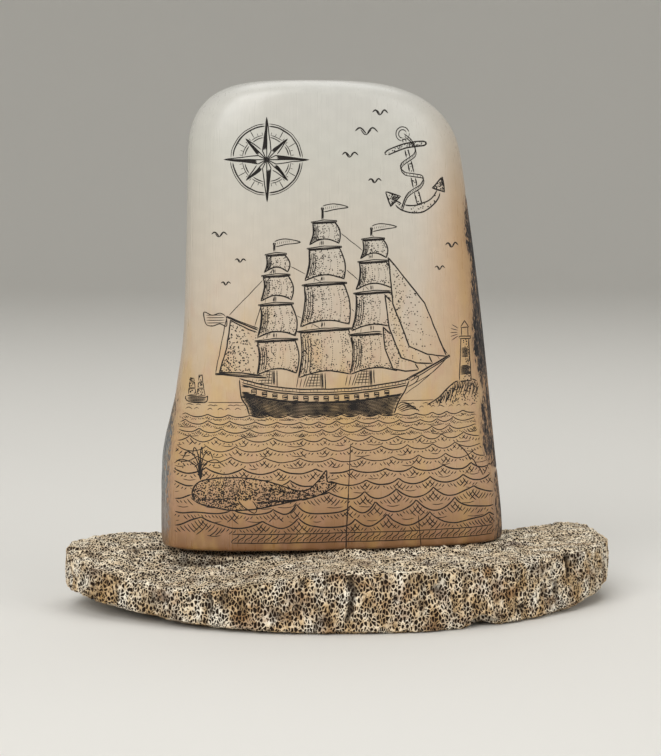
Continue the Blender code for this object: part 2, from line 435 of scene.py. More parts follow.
def cover(outline):
    """Keeps an outline as a shape that later strokes stop at."""
    in_front.append(np.array(outline))


def hatch(outline, angle, spacing, width=FINE, skip=0.0):
    """Cuts parallel lines across an outline. skip is the share of them that stop short."""
    outline = np.array(outline)
    along = np.array((math.cos(math.radians(angle)), math.sin(math.radians(angle))))
    across = np.array((-along[1], along[0]))
    reach = outline @ across
    ends = outline @ along
    for offset in np.arange(reach.min() + spacing / 2, reach.max(), spacing):
        low, high = ends.min(), ends.max()
        if hand.random() < skip:
            high = low + (high - low) * hand.uniform(0.3, 0.8)
        engrave(straight_line([along * low + across * offset, along * high + across * offset]), width, outline)


def scatter(outline, count, shade):
    """Pricks up to count dots in an outline, more of them where shade, from 0 to 1, is high."""
    outline = np.array(outline)
    low, high = outline.min(axis=0), outline.max(axis=0)
    tried = np.array([(hand.uniform(low[0], high[0]), hand.uniform(low[1], high[1])) for _ in range(count)])
    part = (tried - low) / (high - low)
    chosen = np.array([hand.random() < shade(s, t) for s, t in part])
    prick(tried[chosen], only=outline)


def placed(corners, at, scale):
    """Corners drawn in their own units, moved to a place on the face and scaled."""
    return [(at[0] + scale * x, at[1] + scale * y) for x, y in corners]


def so_far(name):
    """Prints what the design holds once a motif has been drawn."""
    print(name, "drawn:", len(strokes), "strokes and", len(dots), "dots so far")


# %% [markdown]
# The rope along the foot is the frontmost thing: two lines and the slanted strands between
# them. Above it a sperm whale swims in the waves and blows. A motif is drawn in units of its
# own and then placed, so that it can be moved and scaled as one.

# %% The rope border and the whale
ROPE_LOW, ROPE_HIGH = 3.2, 6.4
ROPE_STRAND = 2.3
ROPE_LEFT, ROPE_RIGHT = -40, 57
for v in (ROPE_LOW, ROPE_HIGH):
    engrave(straight_line([(ROPE_LEFT, v), (ROPE_RIGHT, v)]))
for u in np.arange(ROPE_LEFT, ROPE_RIGHT, ROPE_STRAND):
    engrave(smooth_line([(u, 3.2), (u + 0.6, 4.4), (u + 2.2, 5.3), (u + 2.9, 6.4)]))
    engrave(straight_line([(u + 1.0, 3.7), (u + 2.2, 4.7)]), HAIR)
cover([(ROPE_LEFT, ROPE_LOW), (ROPE_RIGHT, ROPE_LOW), (ROPE_RIGHT, ROPE_HIGH), (ROPE_LEFT, ROPE_HIGH)])

on_whale = partial(placed, at=(-53, 15), scale=0.80)
whale = smooth_line(on_whale([
    (0.6, 4.0), (-0.4, 8.0), (1.6, 11.6), (6, 13.6), (14, 14.6), (24, 14.3), (33, 12.8), (40, 10.4), (46, 8.6),
    (51, 9.4), (55, 13.0), (58.5, 17.4), (59, 12.6), (63, 11.4), (58.5, 8.0), (53, 5.6), (46, 4.4), (37, 2.6),
    (27, 0.6), (16, 0.0), (10, 1.0), (4, 2.2),
]), closed=True)
engrave(whale, OUTLINE)
engrave(smooth_line(on_whale([(1.2, 4.2), (6, 4.6), (12, 4.9), (15.5, 5.8)])))
engrave(smooth_line(on_whale([(16.6, 6.9), (17.3, 7.5), (18.0, 6.9), (17.3, 6.4)]), closed=True), HAIR)
fin = smooth_line(on_whale([(19, 4.6), (22, 1.5), (26.5, -1.2), (27.5, 1.2), (25.5, 4.4)]))
engrave(fin)
cover(fin)
scatter(whale, 3300, lambda s, t: 1.0 - 1.15 * abs(t - 0.30) + 0.2 * s)
for k in range(8):
    x = 29 + k * 3.2
    wrinkle = [(x, 11.4 - k * 0.66), (x + 2.4, 9.6 - k * 0.56), (x + 6, 8.0 - k * 0.3)]
    engrave(smooth_line(on_whale(wrinkle)), HAIR, whale)
for k in range(11):
    x = 14 + k * 3.0
    fold = [(x, 1.0 + k * 0.30), (x + 3, 2.6 + k * 0.2), (x + 7, 3.2 + k * 0.2)]
    engrave(smooth_line(on_whale(fold)), FINE, whale)
cover(whale)
for lean, height in ((-7.5, 8.5), (-5, 12), (-2.2, 14), (0.8, 14.5), (3.8, 12.5), (6.5, 9)):
    bend = (3.0 + lean * 0.28, 13.6 + height * 0.72)
    droop = (3.0 + lean * 1.5, 13.6 + height * 0.72)
    engrave(smooth_line(on_whale([(3.2, 13.2), bend, (3.0 + lean, 13.6 + height), droop])))
    prick(on_whale([(droop[0] + hand.uniform(-1, 1), droop[1] - hand.uniform(1, 4)) for _ in range(4)]), 0.45)
so_far("rope and whale")

# %% [markdown]
# The near sea is cut in rows, nearest first, with cusped crests and short strokes that hang
# from them, so that the crests stand light against the troughs.


# %% The near sea
def wave_row(base, length, height, drop):
    """One row of cusped waves with strokes hanging from its crests, and all below it covered."""
    us = np.arange(-60, 60.1, STEP)
    drift = noise(np.column_stack([us, us * 0 + base, us * 0]), 14, 31)
    phase = (us + hand.uniform(0, length)) / length + 0.35 * drift
    crest = 1 - np.abs(np.sin(math.pi * phase)) ** 0.75
    line = np.column_stack([us, base + height * crest * (0.75 + 0.35 * drift)])
    engrave(line, OUTLINE if base < 32 else FINE)
    for i in range(0, len(us) - 1, 2 if base < 40 else 1):
        fall = drop * (0.45 + 1.0 * crest[i]) * hand.uniform(0.6, 1.2)
        lean = -1.0 if phase[i] % 1 < 0.5 else 1.0
        u, v = line[i] - (0, hand.uniform(0.3, 0.9))
        hanging = [(u, v), (u + lean * fall * 0.35, v - fall * 0.5), (u + lean * fall * 0.9, v - fall)]
        engrave(smooth_line(hanging), FINE if base < 40 else HAIR)
    for u in us[::22]:
        start = u + hand.uniform(-4, 4)
        low = base - drop * hand.uniform(0.9, 1.1)
        reach = hand.uniform(3, 7)
        engrave(smooth_line([(start, low + 0.3), (start + reach / 2, low), (start + reach, low + 0.4)]), HAIR)
    cover(np.vstack([line, [(60, base - 40), (-60, base - 40)]]))


# Each row: its height on the face, a wave's length and height, and how far its strokes hang
WAVE_ROWS = (
    (8.5, 17, 4.6, 3.2), (13.5, 15, 4.2, 3.0), (18.5, 14, 3.8, 2.9), (23.4, 13, 3.4, 2.7),
    (27.9, 12, 3.0, 2.4), (32.0, 11, 2.7, 2.1), (35.8, 10, 2.4, 1.9), (39.3, 9, 2.1, 1.6),
    (42.5, 8.2, 1.8, 1.4), (45.4, 7.4, 1.6, 1.2), (48.0, 6.6, 1.3, 1.0),
)
for row in WAVE_ROWS:
    wave_row(*row)
so_far("near sea")

# %% [markdown]
# The ship is drawn in its own units too, with its waterline at 0 and its bow to the right.
# The hull comes first: outline, rail, a light band with gun ports, and planks below it that
# are cut so close that they read as black.


# %% The hull
on_ship = partial(placed, at=(-7, 49.8), scale=0.88)


def sheer(x, below=0.0):
    """The height of the ship's rail at x, or of a plank line that far below it."""
    return 9.2 + 4.6 * max(-x / 34, 0) ** 2.4 + 3.6 * max(x / 36, 0) ** 2 - below


def plank_line(below, start=-33.0, end=34.5):
    """A line along the hull that runs below the rail."""
    return smooth_line(on_ship([(x, sheer(x, below)) for x in np.linspace(start, end, 12)]))


bow = smooth_line(on_ship([(35.4, 12.4), (33.6, 8.0), (31.0, 4.0), (28.5, -2.5)]))
stern = smooth_line(on_ship([(-29.5, -2.5), (-30.8, 2.0), (-33.0, 6.0), (-33.8, 13.4)]))
hull = np.vstack([plank_line(0, -34, 36), bow, stern])
for line in (plank_line(0, -34, 36), bow, stern):
    engrave(line, OUTLINE)
engrave(plank_line(1.3), FINE, hull)
for below in (2.2, 5.2):
    engrave(plank_line(below), OUTLINE, hull)
for below in np.arange(5.7, 15.5, 0.55):
    engrave(plank_line(below, -33, 34), 0.42, hull)
for x in np.arange(-28, 30, 4.15):
    low, high = sheer(x, 4.7), sheer(x, 2.9)
    port = [(x - 0.9, low), (x + 0.9, low), (x + 0.9, high), (x - 0.9, high)]
    engrave(straight_line(on_ship(port), closed=True))
    prick(on_ship([(x - 0.35, (low + high) / 2), (x + 0.35, (low + high) / 2)]), 0.9)
for x in np.arange(-32, 34, 1.4):
    engrave(straight_line(on_ship([(x, sheer(x)), (x, sheer(x, 1.3))])), HAIR, hull)
for y in (10.6, 8.4, 6.4):
    engrave(straight_line(on_ship([(-33.6, y), (-29.5, y - 0.4)])), FINE, hull)
cover(hull)
engrave(smooth_line(on_ship([(34.6, 9.4), (38.0, 11.4), (39.4, 13.6), (37.6, 13.8), (37.9, 12.5)])))
for k in range(5):
    bow_wave = [(29.0 + k * 0.7, 1.2 - k * 0.4), (32 + k, 3.4 - k * 0.7)]
    bow_wave += [(35.0 + k, 2.6 - k * 0.6), (35.6 + k, 1.2 - k * 0.5)]
    engrave(smooth_line(on_ship(bow_wave)))
so_far("hull")

# %% [markdown]
# A square sail hangs from a yard and bellies towards the bow. Each is a patch with s across
# and t up, so its outline, seams, reef points and shading all come from one function. The
# three jibs and the spanker are cut between their corners, and their edges bow out a little.


# %% The sails
def square_sail(mast, foot, head, half_foot, half_head, belly=1.7):
    """Draws one square sail with its yard. All lengths are in the ship's units."""

    def point(s, t):
        half = half_foot + (half_head - half_foot) * t
        x = mast + belly * math.sin(math.pi * (0.12 + 0.76 * t)) * (0.75 + 0.5 * s) + (2 * s - 1) * half
        return x, foot + (head - foot) * t + 0.055 * (x - mast) + 2.1 * (1 - t) ** 2 * math.sin(math.pi * s)

    steps = np.linspace(0, 1, 9)
    around = [point(s, 0) for s in steps] + [point(1, t) for t in steps[1:-1]]
    around += [point(s, 1) for s in steps[::-1]] + [point(0, t) for t in steps[-2:0:-1]]
    outline = straight_line(on_ship(around), closed=True)
    engrave(outline, OUTLINE)
    for s in (0.2, 0.4, 0.6, 0.8):
        prick(on_ship([point(s, t) for t in np.linspace(0.04, 0.96, int((head - foot) / 0.95))]), 0.36)
    for s in np.linspace(0.08, 0.92, int(half_head * 1.1)):
        x, y = point(s, 0.80)
        engrave(straight_line(on_ship([(x, y), (x + 0.2, y - 1.5)])), HAIR)
    for _ in range(int(half_foot * (head - foot) * 3.4)):
        s, t = hand.random(), hand.random()
        dark = 1.0 * max(0, 1 - s / 0.62) ** 1.2 + 0.8 * max(0, s - 0.78) / 0.22 + 0.6 * max(0, 0.3 - t) / 0.3
        if hand.random() < dark + 0.04:
            prick(on_ship([point(s, t)]), 0.44)
    for s in (0.03, 0.08, 0.13, 0.18):
        engrave(smooth_line(on_ship([point(s, t) for t in (0.05, 0.3, 0.6, 0.9)])), HAIR)
    cover(outline)
    (x0, y0), (x1, y1) = point(-0.07, 1.0), point(1.07, 1.0)
    middle = mast + belly * 0.4
    yard = straight_line(on_ship([(x0, y0 + 0.2), (middle, head + 0.2), (x1, y1 + 0.2), (x1, y1 + 0.7),
                                  (middle, head + 1.3), (x0, y0 + 0.7)]), closed=True)
    engrave(yard)
    engrave(straight_line(on_ship([(x0, y0 + 0.4), (middle, head + 0.6), (x1, y1 + 0.4)])), HAIR)
    cover(yard)


def fore_and_aft_sail(corners, count, bow_out=0.07):
    """Draws a sail between its corners, darker towards its left."""
    edges = []
    for (x0, y0), (x1, y1) in zip(corners, corners[1:] + corners[:1]):
        edges += [(x0, y0), ((x0 + x1) / 2 + (y1 - y0) * bow_out, (y0 + y1) / 2 - (x1 - x0) * bow_out)]
    outline = straight_line(on_ship(edges), closed=True)
    engrave(outline, OUTLINE)
    scatter(outline, count, lambda s, t: 1.0 - 1.25 * s)
    (x0, y0), (x1, y1), (x2, y2) = corners[:3]
    for share in (0.2, 0.4, 0.6, 0.8):
        start = (x0 + (x1 - x0) * share, y0 + (y1 - y0) * share)
        end = (x2 + (x1 - x2) * share, y2 + (y1 - y2) * share)
        prick(straight_line(on_ship([start, end]))[::2], 0.34, outline)
    cover(outline)


fore_and_aft_sail([(51.5, 21.5), (27.0, 62), (35.5, 26.0)], 620)
fore_and_aft_sail([(45.5, 18.8), (25.5, 47), (32.0, 21.5)], 460)
fore_and_aft_sail([(39.5, 16.4), (24.5, 34.0), (28.5, 17.0)], 300)
# Each mast: its place, its top, and its sails' feet, heads and half widths
MASTS = (
    (20.0, 74, ((15.5, 31, 9.6, 8.8), (33, 47.5, 8.9, 7), (49.5, 60, 7, 5.4), (61.8, 69, 5.2, 4))),
    (0.0, 82, ((14.5, 32.5, 10.4, 9.6), (34.8, 51, 9.8, 7.8), (53.2, 65.5, 7.8, 6), (67.5, 76, 5.8, 4.4))),
    (-19.5, 68, ((15.5, 28.5, 7.6, 7.4), (30.5, 43, 7.4, 6), (45, 54.5, 6, 4.8), (56.3, 63, 4.6, 3.6))),
)
for mast, top, sails in MASTS:
    for sail in sails:
        square_sail(mast, *sail)
fore_and_aft_sail([(-24.0, 14.6), (-22.5, 31.0), (-37.0, 37.0), (-41.5, 16.0)], 1000, -0.04)
so_far("sails")

# %% [markdown]
# Masts, spars and rigging lie behind the sails, so they come last and only show in the gaps.


# %% Masts, shrouds and stays
def spar(start, end, thick_start, thick_end):
    """A tapered round spar between two places, shaded on one side."""
    start, end = np.array(start, float), np.array(end, float)
    side = np.array((start[1] - end[1], end[0] - start[0])) / np.linalg.norm(end - start) / 2
    outline = straight_line(on_ship([start + side * thick_start, end + side * thick_end, end - side * thick_end,
                                     start - side * thick_start]), closed=True)
    engrave(outline)
    engrave(straight_line(on_ship([start + side * thick_start * 0.4, end + side * thick_end * 0.4])))
    cover(outline)


def rope(start, end, sag=0.0):
    """A rope between two places, with the sag that its middle hangs by."""
    middle = ((start[0] + end[0]) / 2, (start[1] + end[1]) / 2 - sag)
    engrave(smooth_line(on_ship([start, middle, end])), HAIR)


spar((34.0, 11.8), (53.0, 21.8), 1.5, 0.6)
spar((-22.5, 14.2), (-43.0, 15.4), 0.9, 0.5)
spar((-21.5, 31.5), (-38.5, 38.4), 0.9, 0.5)
for mast, top, sails in MASTS:
    spar((mast, sheer(mast)), (mast, top), 1.5, 0.5)
    pennant = smooth_line(on_ship([(mast, top + 0.6), (mast + 4.5, top + 1.7), (mast + 10.5, top + 0.4),
                                   (mast + 5, top - 0.5), (mast, top - 1.4)]), closed=True)
    engrave(pennant)
    hatch(pennant, 100, 0.7, HAIR)
    head = sails[0][1]
    for k in range(5):
        rope((mast - 1.5 - k * 1.5, sheer(mast)), (mast - 0.4, head - 0.5))
    for y in np.arange(sheer(mast) + 1.5, head - 2, 1.15):
        spread = 1 - (y - sheer(mast)) / (head - sheer(mast))
        engrave(straight_line(on_ship([(mast - 1.0, y), (mast - 0.6 - 7.2 * spread, y - 0.1)])), HAIR)
    for k, share in enumerate((0.42, 0.66, 0.86)):
        rope((mast - 8.5 - k * 1.3, sheer(mast)), (mast, top * share + 3))
STAYS = (
    ((52.5, 21.5), (20, 72)), ((49, 19.8), (20, 60)), ((43, 17.2), (20, 47)), ((20, 48), (0, 66)),
    ((20, 33), (0, 53)), ((20, 62), (0, 78)), ((0, 33), (-19.5, 44)), ((0, 52), (-19.5, 62)),
    ((-34, 14), (-19.5, 60)), ((-43, 15.5), (-38.5, 38)), ((-38.5, 38), (-19.5, 58)),
)
for start, end in STAYS:
    rope(start, end)
rope((37.5, 11.0), (52, 21.0), 1.2)
rope((33.5, 6.5), (52, 21.0), 0.6)
flag = smooth_line(on_ship([(-38.8, 38.3), (-41, 39.8), (-44, 38.9), (-47, 40.0), (-46.5, 35.6), (-44, 34.6),
                            (-41, 35.6), (-38.6, 34.6)]), closed=True)
engrave(flag)
hatch(flag, 3, 0.9, HAIR)
so_far("rigging")

# %% [markdown]
# Behind the ship a small lighthouse stands on a headland, a brig lies on the horizon, and the
# far sea is a few broken strokes.

# %% Headland, lighthouse, brig and far sea
on_headland = partial(placed, at=(45.8, 52.2), scale=0.80)
headland = smooth_line(on_headland([
    (-19, -1), (-13, 2.5), (-7, 8), (-3.4, 9.5), (3.1, 10), (8, 8), (12, 8.5), (14, -1),
]))
tower = straight_line(on_headland([(-3.1, 9.3), (-2.0, 28.3), (2.0, 28.3), (3.1, 9.3)]), closed=True)
gallery = straight_line(on_headland([(-2.9, 28.3), (-2.9, 29.4), (2.9, 29.4), (2.9, 28.3)]), closed=True)
lantern = straight_line(on_headland([(-1.7, 29.4), (-1.7, 33.4), (1.7, 33.4), (1.7, 29.4)]), closed=True)
roof = straight_line(on_headland([(-2.2, 33.4), (0, 36.4), (2.2, 33.4)]), closed=True)
for outline in (roof, lantern, gallery, tower):
    engrave(outline)
    cover(outline)
in_front.pop()  # the tower covers again once its own bands are cut
for low, high in ((12.4, 16.4), (20.2, 24.2)):
    for y in np.arange(low, high, 0.55):
        engrave(straight_line(on_headland([(-2.7, y), (2.7, y)])), FINE, tower)
scatter(tower, 260, lambda s, t: 1.2 * s - 0.3)
cover(tower)
for angle in (-28, -14, 0, 14, 28, 152, 166, 180, 194, 208):
    x, y = math.cos(math.radians(angle)), math.sin(math.radians(angle))
    engrave(straight_line(on_headland([(x * 3.6, 31.4 + y * 3.6), (x * 7.6, 31.4 + y * 7.6)])), HAIR)
engrave(headland, OUTLINE)
for x in np.arange(-14, 13, 0.85):
    fall = hand.uniform(3, 8)
    top = 9.2 if x > -4 else 1.6 + (x + 14) * 0.76
    ledge = [(x, top), (x - 0.5, top - fall * 0.5), (x - 1.5, top - fall)]
    engrave(smooth_line(on_headland(ledge)), FINE, headland)
scatter(headland, 420, lambda s, t: 0.8)
cover(headland)

on_brig = partial(placed, at=(-51.2, 53.4), scale=0.62)
for x, top in ((-2.5, 13.2), (2.2, 15.2)):
    for low, high, half in ((3.6, 7.2, 2.1), (7.8, 10.8, 1.6), (11.4, top, 1.1)):
        corners = [(x - half, low), (x + half, low), (x + half * 0.8, high), (x - half * 0.8, high)]
        sail = straight_line(on_brig(corners), closed=True)
        engrave(sail, HAIR)
        scatter(sail, 16, lambda s, t: 1 - s)
        cover(sail)
brig = smooth_line(on_brig([(-5.5, 2.8), (4.5, 2.6), (5.6, 3.4), (4.2, -0.4), (-4.6, -0.4)]), closed=True)
engrave(brig)
hatch(brig, 0, 0.5)
cover(brig)
for base, reach in ((50.6, 1.1), (52.0, 0.7)):
    for u in np.arange(-58, 58, 3.2):
        start = u + hand.uniform(-1, 1)
        end = start + hand.uniform(1.8, 3.0)
        engrave(smooth_line([(start, base), (start + 1.1, base + reach * 0.6), (end, base)]), HAIR)
HORIZON = 53.3
engrave(straight_line([(-58, HORIZON), (58, HORIZON)]), HAIR)
so_far("headland and brig")

# %% [markdown]
# Last come the open parts of the sky: an eight-pointed compass rose with one half of each point
# cut dark, an anchor with a turn of rope, and gulls.


# %% The compass rose
ROSE_AT, ROSE_RADIUS = (-26.5, 139), 12.5
ROSE_WAIST = 0.27  # share of the radius where a point is widest


def on_rose(angle, share):
    """A place on the rose at an angle in degrees and a share of its radius."""
    turn = math.radians(angle)
    return ROSE_AT[0] + ROSE_RADIUS * share * math.sin(turn), ROSE_AT[1] + ROSE_RADIUS * share * math.cos(turn)


for angles, tip, waist in (((0, 90, 180, 270), 1.20, 26), ((45, 135, 225, 315), 0.84, 22)):
    for angle in angles:
        waists = [on_rose(angle + side * waist, ROSE_WAIST) for side in (-1, 1)]
        halves = [straight_line([on_rose(angle, tip), place, on_rose(0, 0)], closed=True) for place in waists]
        for half in halves:
            engrave(half)
        for share in (0.2, 0.4, 0.6, 0.8):
            start = on_rose(angle, tip * (1 - share * 0.15))
            engrave(straight_line([start, on_rose(angle - waist * share, ROSE_WAIST)]))
        for half in halves:
            cover(half)
for share, width in ((0.62, FINE), (0.68, HAIR), (0.94, OUTLINE), (1.0, HAIR)):
    engrave(smooth_line([on_rose(a, share) for a in range(0, 360, 20)], closed=True), width)
for angle in range(0, 360, 10):
    engrave(straight_line([on_rose(angle, 0.68), on_rose(angle, 0.94 if angle % 30 == 0 else 0.78)]), HAIR)
so_far("compass rose")

# %% The anchor and the gulls
ANCHOR_AT = (29, 121)
ANCHOR_LEAN = math.radians(14)


def on_anchor(corners):
    """Corners in the anchor's units, leaning to the left, as places on the face."""
    c, s = math.cos(ANCHOR_LEAN), math.sin(ANCHOR_LEAN)
    return [(ANCHOR_AT[0] + x * c - y * s, ANCHOR_AT[1] + x * s + y * c) for x, y in corners]


rope_turns = [
    (-7, 2), (-3.5, 6.5), (2.2, 8.6), (3.4, 11.5), (-2.6, 14.2), (-3.2, 17.4), (2.8, 20.0), (3.0, 24.0),
    (0.4, 27.6),
]
for side in (-0.55, 0.55):
    engrave(smooth_line(on_anchor([(x, y + side) for x, y in rope_turns])))
rope_line = smooth_line(on_anchor(rope_turns))
for (u0, v0), (u1, v1) in zip(rope_line[::2], rope_line[1::2]):
    engrave(straight_line([(u0 - 0.3, v0 - 0.45), (u1 + 0.1, v1 + 0.45)]), HAIR)
above, below = [[(x, y + side) for x, y in rope_turns] for side in (0.5, -0.5)]
cover(smooth_line(on_anchor(above + below[::-1])))
shank = straight_line(on_anchor([(-0.9, 2.5), (-0.6, 26), (0.6, 26), (0.9, 2.5)]), closed=True)
stock = smooth_line(on_anchor([
    (-7.2, 22.2), (0, 22.9), (7.2, 22.2), (7.2, 23.6), (0, 24.5), (-7.2, 23.6),
]), closed=True)
arms = smooth_line(on_anchor([
    (-10.2, 8.6), (-8.0, 3.0), (-4.0, 0.4), (0, -0.6), (4.0, 0.4), (8.0, 3.0), (10.2, 8.6), (8.6, 6.4),
    (6.0, 3.8), (3.2, 2.6), (0, 2.4), (-3.2, 2.6), (-6.0, 3.8), (-8.6, 6.4),
]), closed=True)
flukes = [straight_line(on_anchor([(side * 11.2, 9.8), (side * 10.6, 4.2), (side * 6.2, 6.8)]), closed=True)
          for side in (-1, 1)]
for outline in (*flukes, arms, stock, shank):
    engrave(outline, OUTLINE)
    scatter(outline, 230, lambda s, t: 0.25 + 0.8 * s)
    cover(outline)
for radius in (1.5, 2.5):
    ring = [(radius * math.cos(a), 28 + radius * math.sin(a)) for a in np.arange(0, 6.2, 0.8)]
    engrave(smooth_line(on_anchor(ring), closed=True))
so_far("anchor")
# Each gull: its place and its span
GULLS = (
    (9, 148, 8.5), (3, 140, 6.0), (12, 131, 5.0), (14, 155, 6.0), (41, 108, 5.5), (36, 100, 4.2),
    (-43, 112, 5.5), (-36, 103, 4.0), (-41, 95, 3.6),
)
for u, v, span in GULLS:
    wing = span / 2
    engrave(smooth_line([(u - wing, v + wing * 0.22), (u - wing * 0.55, v + wing * 0.52), (u, v)]), OUTLINE)
    engrave(smooth_line([(u, v), (u + wing * 0.5, v + wing * 0.55), (u + wing, v + wing * 0.15)]), OUTLINE)
    back = [(u - wing * 0.55, v + wing * 0.40), (u - wing * 0.1, v - 0.15), (u + wing * 0.45, v + wing * 0.42)]
    engrave(smooth_line(back))
so_far("gulls")
print("cuts in all", round(sum(len(line) for line, _ in strokes) * STEP / 1000, 2), "m")


# %% [markdown]
# Now each stroke becomes a sliver with a V-shaped section: its flat top lies a hair proud of
# the ivory, and its edge points down into it. A dot is a small pyramid, point down. Each place
# is found by sending a ray straight back onto the polished tusk. The drying cracks that cross
# the ivory are made the same way.

# %% Cut the strokes into the ivory
CUT_DEPTH = 0.14
TAPER = 1.0  # mm over which a stroke's ends thin out
FACE_X = (tusk_low[0] + tusk_high[0]) / 2 / MM
RAYS_FROM = -60  # y in mm, in front of the whole tusk
# Cracks as places on the face, and their widths
CRACKS = (
    ([(2.6, 38.5), (2.4, 34), (2.2, 30), (2.0, 26), (1.7, 20)], 0.30),
    ([(1.8, 21), (1.5, 16), (1.3, 12), (1.0, 6), (0.9, 0.4)], 0.46),
    ([(27.4, 12.0), (27.8, 7), (28.5, 0.4)], 0.34),
    ([(42.6, 36.6), (44.2, 35.6), (46.1, 33.6), (47.4, 31.8), (48.9, 30.9), (50.3, 28.6), (51.6, 27.4),
      (53.0, 24.8)], 0.45),
    ([(53.0, 25.0), (54.2, 26.6), (55.4, 28.6), (56.6, 28.4), (58.0, 29.6), (59.4, 29.9)], 0.36),
)


def slivers(name, lines, pricks, proud):
    """Makes one closed mesh of all the lines and dots, that far proud of the ivory in millimetres."""
    corners, faces = [], []

    def on_ivory(u, v, lift):
        start = Vector((FACE_X + u, RAYS_FROM, FOOT_Z + v)) * MM
        hit, place, normal, _ = ivory.ray_cast(start, (0, 1, 0))
        corners.append(place + normal * lift * MM)
        return len(corners) - 1

    for line, width in lines:
        along = np.gradient(line, axis=0)
        along /= np.linalg.norm(along, axis=1)[:, None] + 1e-9
        side = np.column_stack([-along[:, 1], along[:, 0]])
        run = np.arange(len(line)) * STEP
        thin = np.clip(0.3 + 0.7 * np.minimum(run, run[::-1]) / TAPER, 0, 1)
        half = width / 2 * thin * (1 + 0.18 * noise(np.column_stack([line, run]), 3, 41))
        if len(line) == 2:
            line = np.array([line[0], line.mean(axis=0), line[1]])
            side, half = side[[0, 0, 1]], half[[0, 0, 1]]
        inner = zip(line[1:-1], side[1:-1], half[1:-1])
        rings = [(on_ivory(u + du * h, v + dv * h, proud), on_ivory(u - du * h, v - dv * h, proud),
                  on_ivory(u, v, -CUT_DEPTH)) for (u, v), (du, dv), h in inner]
        first, last = on_ivory(*line[0], proud / 2), on_ivory(*line[-1], proud / 2)
        for ring, point in ((rings[0], first), (rings[-1], last)):
            faces += [(ring[i], ring[(i + 1) % 3], point) for i in range(3)]
        for a, b in zip(rings, rings[1:]):
            faces += [(a[i], a[(i + 1) % 3], b[(i + 1) % 3], b[i]) for i in range(3)]
    for u, v, size in pricks:
        turns = hand.uniform(0, 6.28) + np.arange(5) * 2 * math.pi / 5
        rim = [on_ivory(u + size / 2 * math.cos(a), v + size / 2 * math.sin(a), proud) for a in turns]
        point = on_ivory(u, v, -CUT_DEPTH)
        faces += [tuple(rim)] + [(rim[i], rim[(i + 1) % 5], point) for i in range(5)]

    mesh = bpy.data.meshes.new(name)
    mesh.from_pydata(corners, [], faces)
    piece = bpy.data.objects.new(name, mesh)
    bpy.context.scene.collection.objects.link(piece)
    bpy.ops.object.select_all(action="DESELECT")
    piece.select_set(True)
    bpy.context.view_layer.objects.active = piece
    bpy.ops.object.mode_set(mode="EDIT")
    bpy.ops.mesh.select_all(action="SELECT")
    bpy.ops.mesh.normals_make_consistent(inside=False)
    bpy.ops.object.mode_set(mode="OBJECT")
    mesh.calc_loop_triangles()
    print(name, len(mesh.loop_triangles), "triangles")
    return piece


ink = slivers("ink_filled_cuts", strokes, dots, 0.02)
# The cracks' dark slivers stand partly for dirt and partly for painted shade in their gaps.
cracks = slivers("drying_cracks", [(smooth_line(path), width) for path, width in CRACKS], [], 0.035)

# %% [markdown]
# ## The whalebone
#
# Whalebone is a sponge of fine struts round open cells, drawn out along the bone. The slab was
# cut across that grain: its top shows small round cells, and its broken rim tall open ones.
# A voxel remesh makes an even net that is fine enough to sink each cell into it.

# %% Remesh the slab
VOXEL = 0.56 * MM
slab = copy_of("whalebone_slab", "fossil_whalebone_slab")
apply_modifier(slab, "REMESH", mode="VOXEL", voxel_size=VOXEL, use_smooth_shade=True)
print("slab net", len(slab.data.polygons), "faces")

# %% [markdown]
# Larger features come first: the broken rim's lumps, the ridges and knobs of the worn top,
# cracks that run in from the rim, two grooves down the front, a chip in its lower edge and
# pits. Each is a noise, or a distance to a line, so the places are a few measured values. The
# underside and the seat below the tusk stay flat, but for the seat's front left, which has
# crumbled away. In front of the foot's right, knobs of bone stand a little proud.

# %% Break the slab's surface
SLAB_TOP = slab_high[2] / MM
LUMP_DEPTH = 0.9
FLUTE_DEPTH = 0.6  # grooves between the tall struts of the broken side
TOP_RIDGE_DEPTH = 1.0
TOP_RIDGES_TOWARDS = math.radians(75)  # the way that the top's ridges run, seen from above
PIT_DEPTH = 0.9
# How deep the seat has crumbled away below the foot's front left, by x
WORN_SEAT = ((-62, 2.1), (-45, 1.8), (-22, 1.0), (-10, 0.0))
# Cracks and grooves as seen from above: start x, y, end x, y, width, depth, in mm
TOP_CRACKS = (
    (-94, 12, -64, 3, 0.9, 1.2),
    (-88, 24, -66, 16, 0.8, 1.0),
    (-82, 36, -58, 30, 0.8, 1.0),
    (-90, 0, -72, -9, 0.8, 0.9),
    (-78, 44, -50, 41, 0.8, 0.8),
    (70, 36, 77, 24, 1.4, 1.8),
    (64, 30, 74, 31, 1.0, 1.1),
    (76, -20, 80, -28, 2.0, 2.6),
)
CRACK_REACH = 9  # how far below the top a crack still shows on the rim
# Grooves down the front: x at the top, x at the foot, width, depth, height where it ends
FRONT_GROOVES = ((-6.5, -8, 1.6, 2.2, 3), (-56, -53, 0.9, 1.3, 4))
# The chip in the lower front edge, and the y behind which there is none
CHIP_X, CHIP_HALF_WIDTH, CHIP_HEIGHT, CHIP_TOP, CHIP_BACK = 40.5, 7, 2.8, 6, -33
FOOT_SQUARENESS = 2.7  # of the tusk's foot seen from above, where 2 is an ellipse
BANK_HEIGHT = 1.5  # knobs of bone that stand in front of the foot's right
BANK_LEFT = -9  # x where they begin


def line_distance(points, start, end):
    """How far each row of x and y lies from a line between two points."""
    start, end = np.array(start), np.array(end)
    along = end - start
    t = np.clip((points - start) @ along / (along @ along), 0, 1)
    return np.linalg.norm(points - start - t[:, None] * along, axis=1)


def foot_share(points):
    """0 below the middle of the tusk's foot, 1 at its outline and more outside it."""
    middle, reach = np.array((tusk_low + tusk_high) / 2 / MM), np.array((tusk_high - tusk_low) / 2 / MM)
    return (np.abs((points[:, :2] - middle[:2]) / reach[:2]) ** FOOT_SQUARENESS).sum(axis=1)


